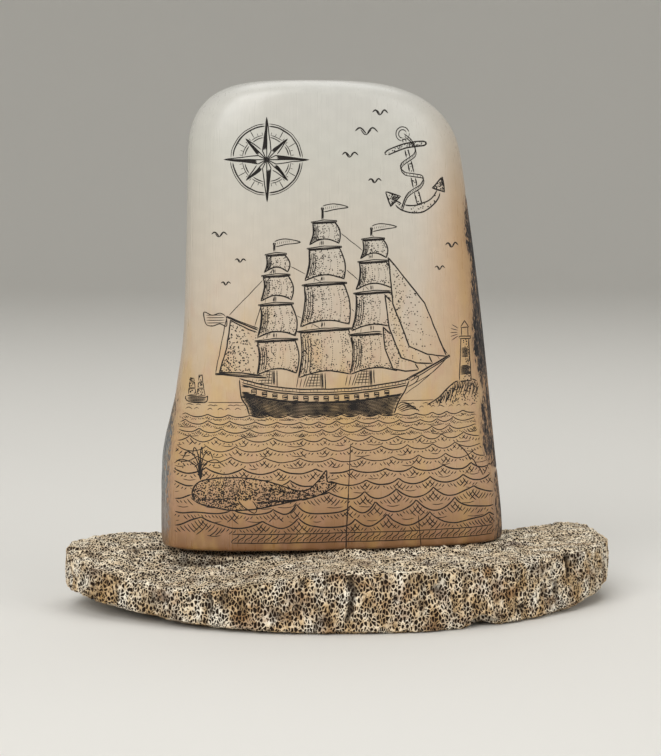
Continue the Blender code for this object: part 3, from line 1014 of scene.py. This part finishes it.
points, normals = points_of(slab.data), normals_of(slab.data)
inside_foot = foot_share(points)
top_share = np.clip((normals[:, 2] - 0.35) / 0.35, 0, 1)
rough = np.clip(points[:, 2] / 0.3, 0, 1)
rough *= 1 - top_share * np.clip((0.80 - inside_foot) / 0.06, 0, 1)

lumps = noise(points, (9, 9, 9), 11) * 0.45 + noise(points, (3.2, 3.2, 4), 12) * 0.55
depth = LUMP_DEPTH * np.clip(0.35 - lumps, 0, 1.2)
flutes = np.clip(noise(points, (1.7, 1.7, 9), 20) - 0.05, 0, 1) * (1 - top_share)
flutes *= np.clip(points[:, 2] / 9, 0.2, 1)
depth += FLUTE_DEPTH * flutes
along = points[:, 0] * math.cos(TOP_RIDGES_TOWARDS) + points[:, 1] * math.sin(TOP_RIDGES_TOWARDS)
across = points[:, 0] * math.sin(TOP_RIDGES_TOWARDS) - points[:, 1] * math.cos(TOP_RIDGES_TOWARDS)
ridges = noise(np.column_stack([across, along, along * 0]), (2.3, 8, 1), 18) * 0.5
knobs = noise(points, (2.6, 3.4, 3), 19) * 0.7
low_ground = np.clip(0.15 - ridges - knobs, 0, 1) * top_share
depth += TOP_RIDGE_DEPTH * low_ground
worn_seat = np.clip((inside_foot - 0.74) / 0.08, 0, 1) * np.clip((1.04 - inside_foot) / 0.06, 0, 1) * top_share
worn_seat *= np.interp(points[:, 0], *zip(*WORN_SEAT)) * (points[:, 1] < MIDDLE_Y - 8)
depth += worn_seat * (0.8 + 0.4 * noise(points, 3.5, 17))
pits = np.clip(noise(points, (2.1, 2.1, 3), 16) - 0.42, 0, 0.5) * 2
depth += PIT_DEPTH * pits
wander = np.stack([noise(points, 5, 13), noise(points, 5, 14)], axis=1) * 1.3
# Painted shadow: the crumbled seat under the foot's front left is darkened in the bone's colour, where the tusk
# shades the gap.
foot_gap_shadow = np.minimum(0.5 * worn_seat, 0.55)
# Painted shade: this mask darkens the bone's colour in the pits, flutes, hollows between the top's ridges, cracks
# and front grooves, where shade falls.
crevice_shade = np.maximum.reduce([0.7 * pits, 0.7 * (flutes - 0.1), 0.3 * (low_ground - 0.1), foot_gap_shadow])
for x0, y0, x1, y1, width, deep in TOP_CRACKS:
    away = line_distance(points[:, :2] + wander, (x0, y0), (x1, y1))
    gap = np.clip(1 - away / width, 0, 1) * (points[:, 2] > SLAB_TOP - CRACK_REACH)
    crevice_shade = np.maximum(crevice_shade, gap)
    depth += deep * gap
for x_top, x_foot, width, deep, foot in FRONT_GROOVES:
    x_line = x_foot + (x_top - x_foot) * points[:, 2] / SLAB_TOP
    away = np.abs(points[:, 0] + wander[:, 0] - x_line)
    gap = np.clip(1 - away / width, 0, 1) * (points[:, 1] < -10) * np.clip((points[:, 2] - foot) / 3, 0, 1)
    gap *= (1 - top_share) * (0.7 + 0.3 * noise(points, 3, 15))
    crevice_shade = np.maximum(crevice_shade, gap * 1.5)
    depth += deep * gap
chip = np.clip(1 - np.abs(points[:, 0] + wander[:, 0] - CHIP_X) / CHIP_HALF_WIDTH, 0, 1)
chip *= np.clip((CHIP_BACK - points[:, 1]) / 8, 0, 1)
moved = points - normals * (depth * rough)[:, None]
moved[:, 2] += CHIP_HEIGHT * chip * np.clip(1 - points[:, 2] / CHIP_TOP, 0, 1)
bank = np.clip((inside_foot - 1.06) / 0.04, 0, 1) * np.clip((1.75 - inside_foot) / 0.5, 0, 1) * top_share
bank *= np.clip((points[:, 0] - BANK_LEFT) / 6, 0, 1) * (points[:, 1] < MIDDLE_Y - 8)
moved[:, 2] += BANK_HEIGHT * bank * (0.75 + 0.35 * noise(points, 3.0, 23))
move_points(slab.data, moved)
store(slab.data, "rough", rough)
store(slab.data, "crevice_shade", crevice_shade)
store(slab.data, "top_share", top_share)
print("slab roughened over", round(float((rough > 0.5).mean()), 2), "of its points")

# %% [markdown]
# The open cells are a Voronoi pattern: a hole in the middle of each cell and a strut along its
# edges. A noise bends the cells and makes some of their holes a little wider than others, as
# bone grows them. The same pattern, from the same places, is used twice. A Geometry Nodes group
# sinks the holes into the mesh, and the material later paints shade into them. Each point's place
# before it sinks is kept as an attribute, so that the two agree.

# %% Sink the open cells
SIDE_CELL = (1.05, 1.05, 1.75)  # mm in x, y and z: the side's cells stand tall
TOP_CELL = (1.05, 2.0, 1.0)  # and the top's run from front to back
SIDE_HOLE_DEPTH = 0.65
TOP_HOLE_DEPTH = 0.35
STRUT = 0.055  # half of a strut, as a share of a cell
HOLE_EDGE = 0.20  # where a hole is at its full depth, as a share of a cell
CELL_BEND = 1.1
CELL_UNEVEN = 0.22  # how much wider or narrower than the others a hole can be

MATH, VECTOR_MATH, RANGE = "ShaderNodeMath", "ShaderNodeVectorMath", "ShaderNodeMapRange"
MIX, NOISE = "ShaderNodeMix", "ShaderNodeTexNoise"
SOFT = {"interpolation_type": "SMOOTHSTEP"}  # for a Map Range that starts and ends gently


def open_cells(tree, place, cell):
    """How open the bone is at a place: 0 on a strut and 1 in a hole."""
    scaled = add(tree, VECTOR_MATH, (place, [1 / (mm * MM) for mm in cell]), operation="MULTIPLY")
    bend = add(tree, NOISE, {"Vector": scaled, "Scale": 0.55, "Detail": 3.0})
    moved = add(tree, VECTOR_MATH, (bend.outputs["Color"], (CELL_BEND,) * 3), operation="MULTIPLY")
    bent = add(tree, VECTOR_MATH, (scaled, moved), operation="ADD")
    cells = add(tree, "ShaderNodeTexVoronoi", {"Vector": bent, "Scale": 1.0}, feature="DISTANCE_TO_EDGE")
    wider = add(tree, MATH, (bend.outputs["Fac"], CELL_UNEVEN, -CELL_UNEVEN / 2), operation="MULTIPLY_ADD")
    width = add(tree, MATH, (cells, wider), operation="ADD")
    return add(tree, RANGE, (width, STRUT, HOLE_EDGE), **SOFT)


def all_cells(tree, place, top):
    """The side's cells and the top's cells, mixed by how far a place belongs to the top."""
    side_cells, top_cells = [open_cells(tree, place, cell) for cell in (SIDE_CELL, TOP_CELL)]
    return add(tree, MIX, {"Factor": top, "A": side_cells, "B": top_cells})


tree = bpy.data.node_groups.new("sink_open_cells", "GeometryNodeTree")
tree.interface.new_socket("Geometry", in_out="INPUT", socket_type="NodeSocketGeometry")
tree.interface.new_socket("Geometry", in_out="OUTPUT", socket_type="NodeSocketGeometry")
group_in = add(tree, "NodeGroupInput").outputs[0]
place = add(tree, "GeometryNodeInputPosition")
kept = add(tree, "GeometryNodeStoreNamedAttribute", {"Geometry": group_in, "Name": "place", "Value": place},
           data_type="FLOAT_VECTOR", domain="POINT")
top, rough_here = [add(tree, "GeometryNodeInputNamedAttribute", {"Name": name}, data_type="FLOAT")
                   for name in ("top_share", "rough")]
holes = all_cells(tree, place, top)
full = add(tree, MIX, {"Factor": top, "A": -SIDE_HOLE_DEPTH * MM, "B": -TOP_HOLE_DEPTH * MM})
deep = add(tree, MATH, (holes, full), operation="MULTIPLY")
deep = add(tree, MATH, (deep, rough_here), operation="MULTIPLY")
step = add(tree, VECTOR_MATH, {0: add(tree, "GeometryNodeInputNormal"), "Scale": deep}, operation="SCALE")
sunk = add(tree, "GeometryNodeSetPosition", {"Geometry": kept, "Offset": step})
add(tree, "NodeGroupOutput", (sunk,))
apply_modifier(slab, "NODES", node_group=tree)
print("slab with open cells", len(slab.data.polygons), "faces")

# %% [markdown]
# The flat underside and seat don't need a fine net. Their faces are deleted, and each hole is
# filled with one flat face.

# %% Replace the flat nets with single faces
def flatten(piece, chosen):
    """Deletes the chosen faces and fills the hole they leave with one face."""
    select_faces(piece, chosen)
    bpy.ops.mesh.delete(type="FACE")
    bpy.ops.mesh.select_mode(type="EDGE")
    bpy.ops.mesh.select_non_manifold()
    bpy.ops.mesh.edge_face_add()
    bpy.ops.object.mode_set(mode="OBJECT")
    print("deleted", int(chosen.sum()), "flat faces")


FLAT_SEAT = 0.72  # how much of the foot the flat face covers, by foot_share
flatten(slab, face_centres(slab.data)[:, 2] < 0.02)
centres = face_centres(slab.data)
flatten(slab, (foot_share(centres) < FLAT_SEAT) & (centres[:, 2] > SLAB_TOP - 1))
bpy.ops.object.shade_smooth()
slab.data.calc_loop_triangles()
print("slab", len(slab.data.polygons), "faces,", len(slab.data.loop_triangles), "triangles")

# %% [markdown]
# ## Materials
#
# Polished mammoth ivory is a dense, fine-grained dentine. Minerals have stained it from the
# foot upwards, brown to honey to a cool off-white at the crown, and more at its right. So a
# Color Ramp reads the height, and noises shift it and lay tints over it. A table gives each
# noise its size in millimetres, and one loop adds them all.

# %% The ivory's patterns
# Share of the tusk's height and the ivory's colour there
IVORY_HEIGHTS = (
    (0.00, "#86603f"), (0.05, "#98714c"), (0.10, "#a98461"), (0.165, "#b89672"), (0.25, "#bd9d74"),
    (0.315, "#c2a783"), (0.425, "#c6b298"), (0.53, "#c6b8a6"), (0.64, "#c4bbad"), (0.75, "#c4bfb4"),
    (0.86, "#c4c2b9"), (0.945, "#c6c4bd"), (1.00, "#c6c5bf"),
)
# Size in x, y and z in mm, detail and roughness. The growth lines ("grain") are 0.3 mm wide on
# the real ivory, and are drawn coarser to show.
IVORY_PATTERNS = {
    "drift": ((34, 34, 48), 2.0, 0.5),
    "honey": ((9, 9, 22), 3.0, 0.5),
    "rosy": ((5, 5, 8), 4.0, 0.6),
    "grain": ((0.8, 0.8, 40), 3.0, 0.5),
    "edge": ((0.9, 0.9, 2.2), 4.0, 0.6),
    "streak": ((1.5, 1.5, 11), 5.0, 0.65),
    "grit": ((0.8, 0.8, 1.7), 4.0, 0.65),
    "blotch": ((6, 6, 20), 4.0, 0.6),
}
MAPPING, RAMP, ATTRIBUTE = "ShaderNodeMapping", "ShaderNodeValToRGB", "ShaderNodeAttribute"
COLOUR = {"data_type": "RGBA"}  # for a Mix that mixes colours
PATTERNS_APART = 3.7  # how far along x one pattern's part of the noise lies from the next one's


def patterns_of(tree, place, table):
    """The noise of each row in a table of patterns, under its name."""
    noises = {}
    for name, (size, detail, roughness) in table.items():
        apart, scale = (PATTERNS_APART * len(noises), 0, 0), [1 / (mm * MM) for mm in size]
        scaled = add(tree, MAPPING, {"Vector": place, "Location": apart, "Scale": scale})
        look = {"Scale": 1.0, "Detail": detail, "Roughness": roughness}
        noises[name] = add(tree, NOISE, {"Vector": scaled, **look})
    return noises


ivory_paint, tree = new_material("polished_mammoth_ivory")
place = add(tree, "ShaderNodeTexCoord").outputs["Object"]
parts = add(tree, "ShaderNodeSeparateXYZ", (place,)).outputs
noises = patterns_of(tree, place, IVORY_PATTERNS)
print("ivory patterns", *noises)

# %% Stain the ivory
height = add(tree, RANGE, (parts["Z"], tusk_low[2], tusk_high[2]))
sideways = add(tree, RANGE, (parts["X"], tusk_low[0], tusk_high[0]))
lowered = add(tree, MATH, (height, 0.07), operation="SUBTRACT")
stain = add(tree, MATH, (noises["drift"], 0.14, lowered), operation="MULTIPLY_ADD")
colour = add(tree, RAMP, (stain,), stops=IVORY_HEIGHTS)

tanned = 1.0
for values in ((sideways, 0.68, 0.86), (height, 0.20, 0.45), (height, 1.0, 0.62, 0.15, 1.0)):
    tanned = add(tree, MATH, (tanned, add(tree, RANGE, values, **SOFT)), operation="MULTIPLY")
colour = add(tree, MIX, {"Factor": tanned, "A": colour, "B": "#b4936d"}, **COLOUR)

# Tints of the lower half: their pattern, where it starts and is full, strength and colour
LOWER_TINTS = (("honey", 0.48, 0.68, 0.38, "#c5a05e"), ("rosy", 0.45, 0.70, 0.30, "#b98d76"))
lower = add(tree, RANGE, (height, 0.68, 0.35), **SOFT)
for name, low, high, strength, tint in LOWER_TINTS:
    share = add(tree, RANGE, (noises[name], low, high, 0.0, strength), **SOFT)
    share = add(tree, MATH, (share, lower), operation="MULTIPLY")
    colour = add(tree, MIX, {"Factor": share, "A": colour, "B": tint}, **COLOUR)
print("stain", len(IVORY_HEIGHTS), "colours by height and", len(LOWER_TINTS), "tints")

# %% [markdown]
# Cut ivory shows fine growth lines along the tusk and two crossed sets of slanting lines, which
# tell it from bone and horn. Both only darken the stain a little. The real slanting lines are
# about 0.5 mm apart, and are drawn twice as wide to show.

# %% Grain and crossed lines
SLANT_WIDTH = 1.1  # mm
SLANTS = (32, -38)  # degrees
WAVES_PER_UNIT = 0.05  # what a Wave texture's scale is multiplied by to give one band per unit

crossed = 1.0
for slant in SLANTS:
    turned = add(tree, MAPPING, {"Vector": place, "Rotation": (0, math.radians(slant), 0)})
    wave = add(tree, "ShaderNodeTexWave", {"Vector": turned, "Scale": WAVES_PER_UNIT / (SLANT_WIDTH * MM),
               "Distortion": 1.6, "Detail": 1.0, "Detail Scale": 0.6}, bands_direction="Z")
    crossed = add(tree, MATH, (crossed, wave.outputs["Fac"]), operation="MULTIPLY")
darker = add(tree, MATH, (add(tree, RANGE, (noises["grain"], 0.30, 0.75, 1.0, 0.955), **SOFT),
                          add(tree, RANGE, (crossed, 0.0, 0.6, 0.975, 1.0), **SOFT)), operation="MULTIPLY")
shade = add(tree, "ShaderNodeCombineColor", (darker, darker, darker))
colour = add(tree, MIX, {"Factor": 1.0, "A": colour, "B": shade}, blend_type="MULTIPLY", **COLOUR)
print("crossed lines", SLANT_WIDTH, "mm apart at", SLANTS, "degrees")

# %% [markdown]
# Bark that lay in frozen ground is brown, nearly black or slate where iron and phosphates have
# stained it, and flecked with paler dentine. At the lower left a grey-blue band was left on.
# Its edge is ragged, and the ivory beside it is browner.

# %% Bark
BACK_BARK = ((0.39, "#2a221d"), (0.45, "#4a3c31"), (0.50, "#6b5844"), (0.56, "#8d7656"), (0.63, "#b9a27c"))
FRONT_BARK = ((0.40, "#151214"), (0.46, "#2a2424"), (0.50, "#4b3d34"), (0.54, "#86684c"), (0.59, "#b08a63"))
SLATE_BARK = ((0.40, "#383736"), (0.60, "#8b8986"))
BAND_BARK = ((0.40, "#55585c"), (0.60, "#9b9a94"))
# Colours over the band: share of the tusk's height where each starts and ends, strength
BAND_TINTS = ((0.22, 0.31, 0.75, "#26262a"), (0.14, 0.07, 0.60, "#94857c"), (0.05, 0.02, 0.80, "#86694c"))

bark = add(tree, ATTRIBUTE, attribute_name="bark").outputs["Fac"]
ragged = add(tree, MATH, (noises["edge"], 7.0, -3.5), operation="MULTIPLY_ADD")
bark = add(tree, MATH, (bark, ragged), operation="ADD")
is_bark = add(tree, RANGE, (bark, -0.35, 0.45), **SOFT)
behind = add(tree, RANGE, (parts["Y"], (MIDDLE_Y + 4) * MM, (MIDDLE_Y + 16) * MM), **SOFT)
for start, strength, tint, where in ((-15.0, 0.85, "#a88d6b", behind), (-2.4, 0.40, "#8c694a", 1.0)):
    share = add(tree, RANGE, (bark, start, 0.0, 0.0, strength), **SOFT)
    share = add(tree, MATH, (share, where), operation="MULTIPLY")
    colour = add(tree, MIX, {"Factor": share, "A": colour, "B": tint}, **COLOUR)

half_streak = add(tree, MATH, (noises["streak"], 0.5), operation="MULTIPLY")
tone = add(tree, MATH, (noises["grit"], 0.5, half_streak), operation="MULTIPLY_ADD")
front = add(tree, RANGE, (parts["Y"], (MIDDLE_Y + 8) * MM, MIDDLE_Y * MM), **SOFT)
dark_patch = add(tree, RANGE, (height, 0.34, 0.42, 0.0, 0.05), **SOFT)
front_tone = add(tree, MATH, (tone, dark_patch), operation="SUBTRACT")
slate_share = add(tree, RANGE, (noises["blotch"], 0.50, 0.62), **SOFT)
bark_colour = add(tree, MIX, {"Factor": slate_share, "A": add(tree, RAMP, (tone,), stops=BACK_BARK),
                              "B": add(tree, RAMP, (tone,), stops=SLATE_BARK)}, **COLOUR)
bark_colour = add(tree, MIX, {"Factor": front, "A": bark_colour,
                              "B": add(tree, RAMP, (front_tone,), stops=FRONT_BARK)}, **COLOUR)
band_colour = add(tree, RAMP, (tone,), stops=BAND_BARK)
for start, end, strength, tint in BAND_TINTS:
    share = add(tree, RANGE, (height, start, end, 0.0, strength), **SOFT)
    band_colour = add(tree, MIX, {"Factor": share, "A": band_colour, "B": tint}, **COLOUR)
band = add(tree, RANGE, (sideways, 0.12, 0.08), **SOFT)
bark_colour = add(tree, MIX, {"Factor": band, "A": bark_colour, "B": band_colour}, **COLOUR)
seam = add(tree, RANGE, (add(tree, MATH, (bark,), operation="ABSOLUTE"), 0.0, 0.7, 0.45, 0.0), **SOFT)
bark_colour = add(tree, MIX, {"Factor": seam, "A": bark_colour, "B": "#1c1613"}, **COLOUR)
colour = add(tree, MIX, {"Factor": is_bark, "A": colour, "B": bark_colour}, **COLOUR)
print("bark tones", len(BACK_BARK), "behind,", len(FRONT_BARK), "in front,", len(BAND_TINTS), "tints of the band")

# %% [markdown]
# The IOR of ivory is about 1.54. A good polish on old ivory gives a soft shine, so its
# roughness is about 0.3, while the bark is dull.

# %% The ivory's shine
polish = add(tree, RANGE, (noises["grain"], 0.3, 0.8, 0.27, 0.36), **SOFT)
dull = add(tree, RANGE, (tone, 0.4, 0.6, 0.85, 0.5), **SOFT)
roughness = add(tree, MIX, {"Factor": is_bark, "A": polish, "B": dull})
bark_height = add(tree, MATH, (tone, 6.0), operation="MULTIPLY")
bump = add(tree, MATH, (is_bark, bark_height, noises["grain"]), operation="MULTIPLY_ADD")
raised = add(tree, "ShaderNodeBump", {"Height": bump, "Strength": 0.25, "Distance": 0.10 * MM})
shader = add(tree, "ShaderNodeBsdfPrincipled", {"Base Color": colour, "Roughness": roughness,
             "Normal": raised, "IOR": 1.54})
add(tree, "ShaderNodeOutputMaterial", {"Surface": shader})
ivory.data.materials.append(ivory_paint)
print("ivory and bark", len(tree.nodes), "nodes")

# %% [markdown]
# Fossil whalebone is chalky and matte. Its struts are cream to tan, iron has left rusty
# stains, soil has left darker patches, and the depth of its cells is painted dark as shade.

# %% Whalebone
BONE_PATTERNS = {
    "tone": ((6, 6, 8), 3.0, 0.55),
    "rust": ((12, 12, 8), 4.0, 0.6),
    "soil": ((10, 10, 7), 4.0, 0.6),
    "rag": ((3, 3, 3), 3.0, 0.5),
}
STRUT_TONES = ((0.30, "#b2946a"), (0.42, "#dbbf97"), (0.52, "#f4e2c5"), (0.64, "#fff6e4"))
# Stains as x, y, z and radius in mm, and a colour
STAIN_PLACES = (
    (-66, -35, 20, 5, "#4a4546"), (23, -36, 22, 5, "#6b6564"), (31, -36, 22, 4, "#77706c"),
    (61, -4, 22.5, 4, "#6f6466"), (-16, -46, 5, 5, "#4c2f24"), (-58, -38, 20, 4, "#9a6a3c"),
    (44, -38, 12, 7, "#8a6247"), (-27, -42, 15, 5, "#7d5a40"), (10, -45, 14, 5, "#5d4f48"),
    (-6, -46, 8, 3, "#5c6266"), (84, -10, 10, 9, "#b9b0a0"), (-92, -6, 8, 8, "#a5824f"),
    (-78, -24, 6, 9, "#a88a5e"), (-40, -40, 16, 6, "#c9b897"),
)

bone_paint, tree = new_material("fossil_whalebone")
place = add(tree, ATTRIBUTE, attribute_name="place").outputs["Vector"]
top = add(tree, ATTRIBUTE, attribute_name="top_share").outputs["Fac"]
noises = patterns_of(tree, place, BONE_PATTERNS)
bone = add(tree, RAMP, (noises["tone"],), stops=STRUT_TONES)
# The top is paler: partly the cut bone's own colour, partly painted light on faces that point up.
paler_and_lit_top = add(tree, MATH, (top, 0.5), operation="MULTIPLY")
bone = add(tree, MIX, {"Factor": paler_and_lit_top, "A": bone, "B": "#faedd2"}, **COLOUR)
rust_strength = add(tree, MIX, {"Factor": top, "A": 0.62, "B": 0.22})
rusty = add(tree, RANGE, (noises["rust"], 0.50, 0.66), **SOFT)
rust = add(tree, MATH, (rusty, rust_strength), operation="MULTIPLY")
bone = add(tree, MIX, {"Factor": rust, "A": bone, "B": "#94683f"}, **COLOUR)
soil = add(tree, RANGE, (noises["soil"], 0.52, 0.70, 0.0, 0.6), **SOFT)
bone = add(tree, MIX, {"Factor": soil, "A": bone, "B": "#745a40"}, **COLOUR)
for x, y, z, radius, tint in STAIN_PLACES:
    away = add(tree, VECTOR_MATH, (place, (x * MM, y * MM, z * MM)), operation="DISTANCE").outputs["Value"]
    ragged = add(tree, MATH, (noises["rag"], 4 * MM, away), operation="MULTIPLY_ADD")
    share = add(tree, RANGE, (ragged, (radius + 2) * MM, radius * 0.5 * MM, 0.0, 0.75), **SOFT)
    bone = add(tree, MIX, {"Factor": share, "A": bone, "B": tint}, **COLOUR)
print("stains", len(STAIN_PLACES))

# %% [markdown]
# Each hole is painted brown at its edge and nearly black in its depth: painted shade, because
# little light comes back out of it. The cracks and the gap below the tusk's foot get painted shade too.

# %% Holes, cracks and the bone's finish
holes = all_cells(tree, place, top)
crevice_shade = add(tree, ATTRIBUTE, attribute_name="crevice_shade").outputs["Fac"]
colour = bone
# Painted shade that darkens the bone: a mask, where it starts and is full, strength and colour
shades = (
    (holes, 0.0, 0.5, 0.8, "#7d5b38"), (holes, 0.3, 0.9, 0.96, "#1a0e06"),
    (crevice_shade, 0.0, 0.8, 0.85, "#2c2017"), (crevice_shade, 0.9, 1.5, 0.95, "#080504"),
)
for mask, low, high, strength, tint in shades:
    share = add(tree, RANGE, (mask, low, high, 0.0, strength), **SOFT)
    colour = add(tree, MIX, {"Factor": share, "A": colour, "B": tint}, **COLOUR)
height = add(tree, MATH, (holes, -1.0), operation="MULTIPLY")
raised = add(tree, "ShaderNodeBump", {"Height": height, "Strength": 0.9, "Distance": 0.45 * MM})
shader = add(tree, "ShaderNodeBsdfPrincipled", {"Base Color": colour, "Roughness": 0.9, "IOR": 1.5,
             "Specular IOR Level": 0.25, "Normal": raised})
add(tree, "ShaderNodeOutputMaterial", {"Surface": shader})
slab.data.materials.append(bone_paint)
print("whalebone", len(tree.nodes), "nodes")

# %% [markdown]
# Lampblack is soot in oil. It fills the cuts with a dull, warm black. The cracks get a browner
# black: partly the dirt they hold, partly painted shade in their narrow gaps. Matte paint covers the
# studio's floor and wall.

# %% Ink, dirt and paint
PLAIN_FINISHES = {
    "lampblack_ink": {"Base Color": "#1d1815", "Roughness": 0.6, "Specular IOR Level": 0.3},
    "crack_dirt_and_shade": {"Base Color": "#2a1a11", "Roughness": 0.8},
    "matte_studio_paint": {"Base Color": "#e4e2dd", "Roughness": 0.9},
}
plain = {}
for name, sockets in PLAIN_FINISHES.items():
    plain[name], tree = new_material(name)
    add(tree, "ShaderNodeOutputMaterial", {"Surface": add(tree, "ShaderNodeBsdfPrincipled", sockets)})
ink.data.materials.append(plain["lampblack_ink"])
cracks.data.materials.append(plain["crack_dirt_and_shade"])
print("plain finishes", *plain)

# %% [markdown]
# ## Stage
#
# A pale floor that curves up into a round wall, so that every view has the same plain ground,
# and soft studio light from large panels.

# %% Floor and wall
FLOOR_RADIUS = 2.4
WALL_HEIGHT = 3.2
COVE_RADIUS = 1.8
COVE_STEPS = 16

bpy.ops.object.select_all(action="DESELECT")
bpy.ops.mesh.primitive_circle_add(vertices=96, radius=FLOOR_RADIUS, fill_type="NGON")
floor = bpy.context.active_object
floor.name = "studio_floor"
bpy.ops.object.mode_set(mode="EDIT")
bpy.ops.mesh.select_all(action="SELECT")
reach, rise = FLOOR_RADIUS, 0.0
for turn in np.linspace(0, math.pi / 2, COVE_STEPS + 1)[1:]:
    next_reach, next_rise = FLOOR_RADIUS + COVE_RADIUS * math.sin(turn), COVE_RADIUS * (1 - math.cos(turn))
    bpy.ops.mesh.select_mode(type="EDGE")
    bpy.ops.mesh.region_to_loop()
    bpy.ops.mesh.extrude_edges_move(TRANSFORM_OT_translate={"value": (0, 0, next_rise - rise)})
    bpy.ops.transform.resize(value=(next_reach / reach, next_reach / reach, 1))
    reach, rise = next_reach, next_rise
bpy.ops.mesh.extrude_edges_move(TRANSFORM_OT_translate={"value": (0, 0, WALL_HEIGHT)})
bpy.ops.object.mode_set(mode="OBJECT")
bpy.ops.object.shade_smooth()

floor.data.materials.append(plain["matte_studio_paint"])
print("floor", len(floor.data.polygons), "faces")


# %% Lights
PANELS_AIM = Vector((0, 0, 0.09))  # the middle of the object


def panel(name, place, size, power):
    """A square light panel that faces the object, with its side in metres and its power in watts."""
    light = bpy.data.lights.new(name, "AREA")
    light.size = size
    light.energy = power
    holder = bpy.data.objects.new(name, light)
    bpy.context.scene.collection.objects.link(holder)
    holder.location = place
    holder.rotation_euler = (PANELS_AIM - Vector(place)).to_track_quat("-Z", "Y").to_euler()
    print(name, "panel", size, "m across,", power, "W")


panel("key", (-0.9, -1.3, 1.1), 1.3, 22.5)
panel("fill", (1.3, -1.1, 0.7), 1.2, 8)
panel("top", (0.1, 0.4, 1.6), 1.4, 8)
world = bpy.data.worlds.new("studio")
world.use_nodes = True
world.node_tree.nodes["Background"].inputs["Color"].default_value = linear("#f2f2f0")
world.node_tree.nodes["Background"].inputs["Strength"].default_value = 0.52
bpy.context.scene.world = world
bpy.context.scene.view_settings.view_transform = "Standard"

# %% [markdown]
# ## Hand over
#
# Each piece moves with the root body, and the solids of the tusk and the slab are hidden, as the
# new pieces stand in for them.

for piece, cad_node, slot in ((ivory, "tusk", "mammoth_ivory"), (slab, "whalebone_slab", "whalebone")):
    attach(piece, "root")
    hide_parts(cad_node)

for piece in (ink, cracks):
    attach(piece, "root")
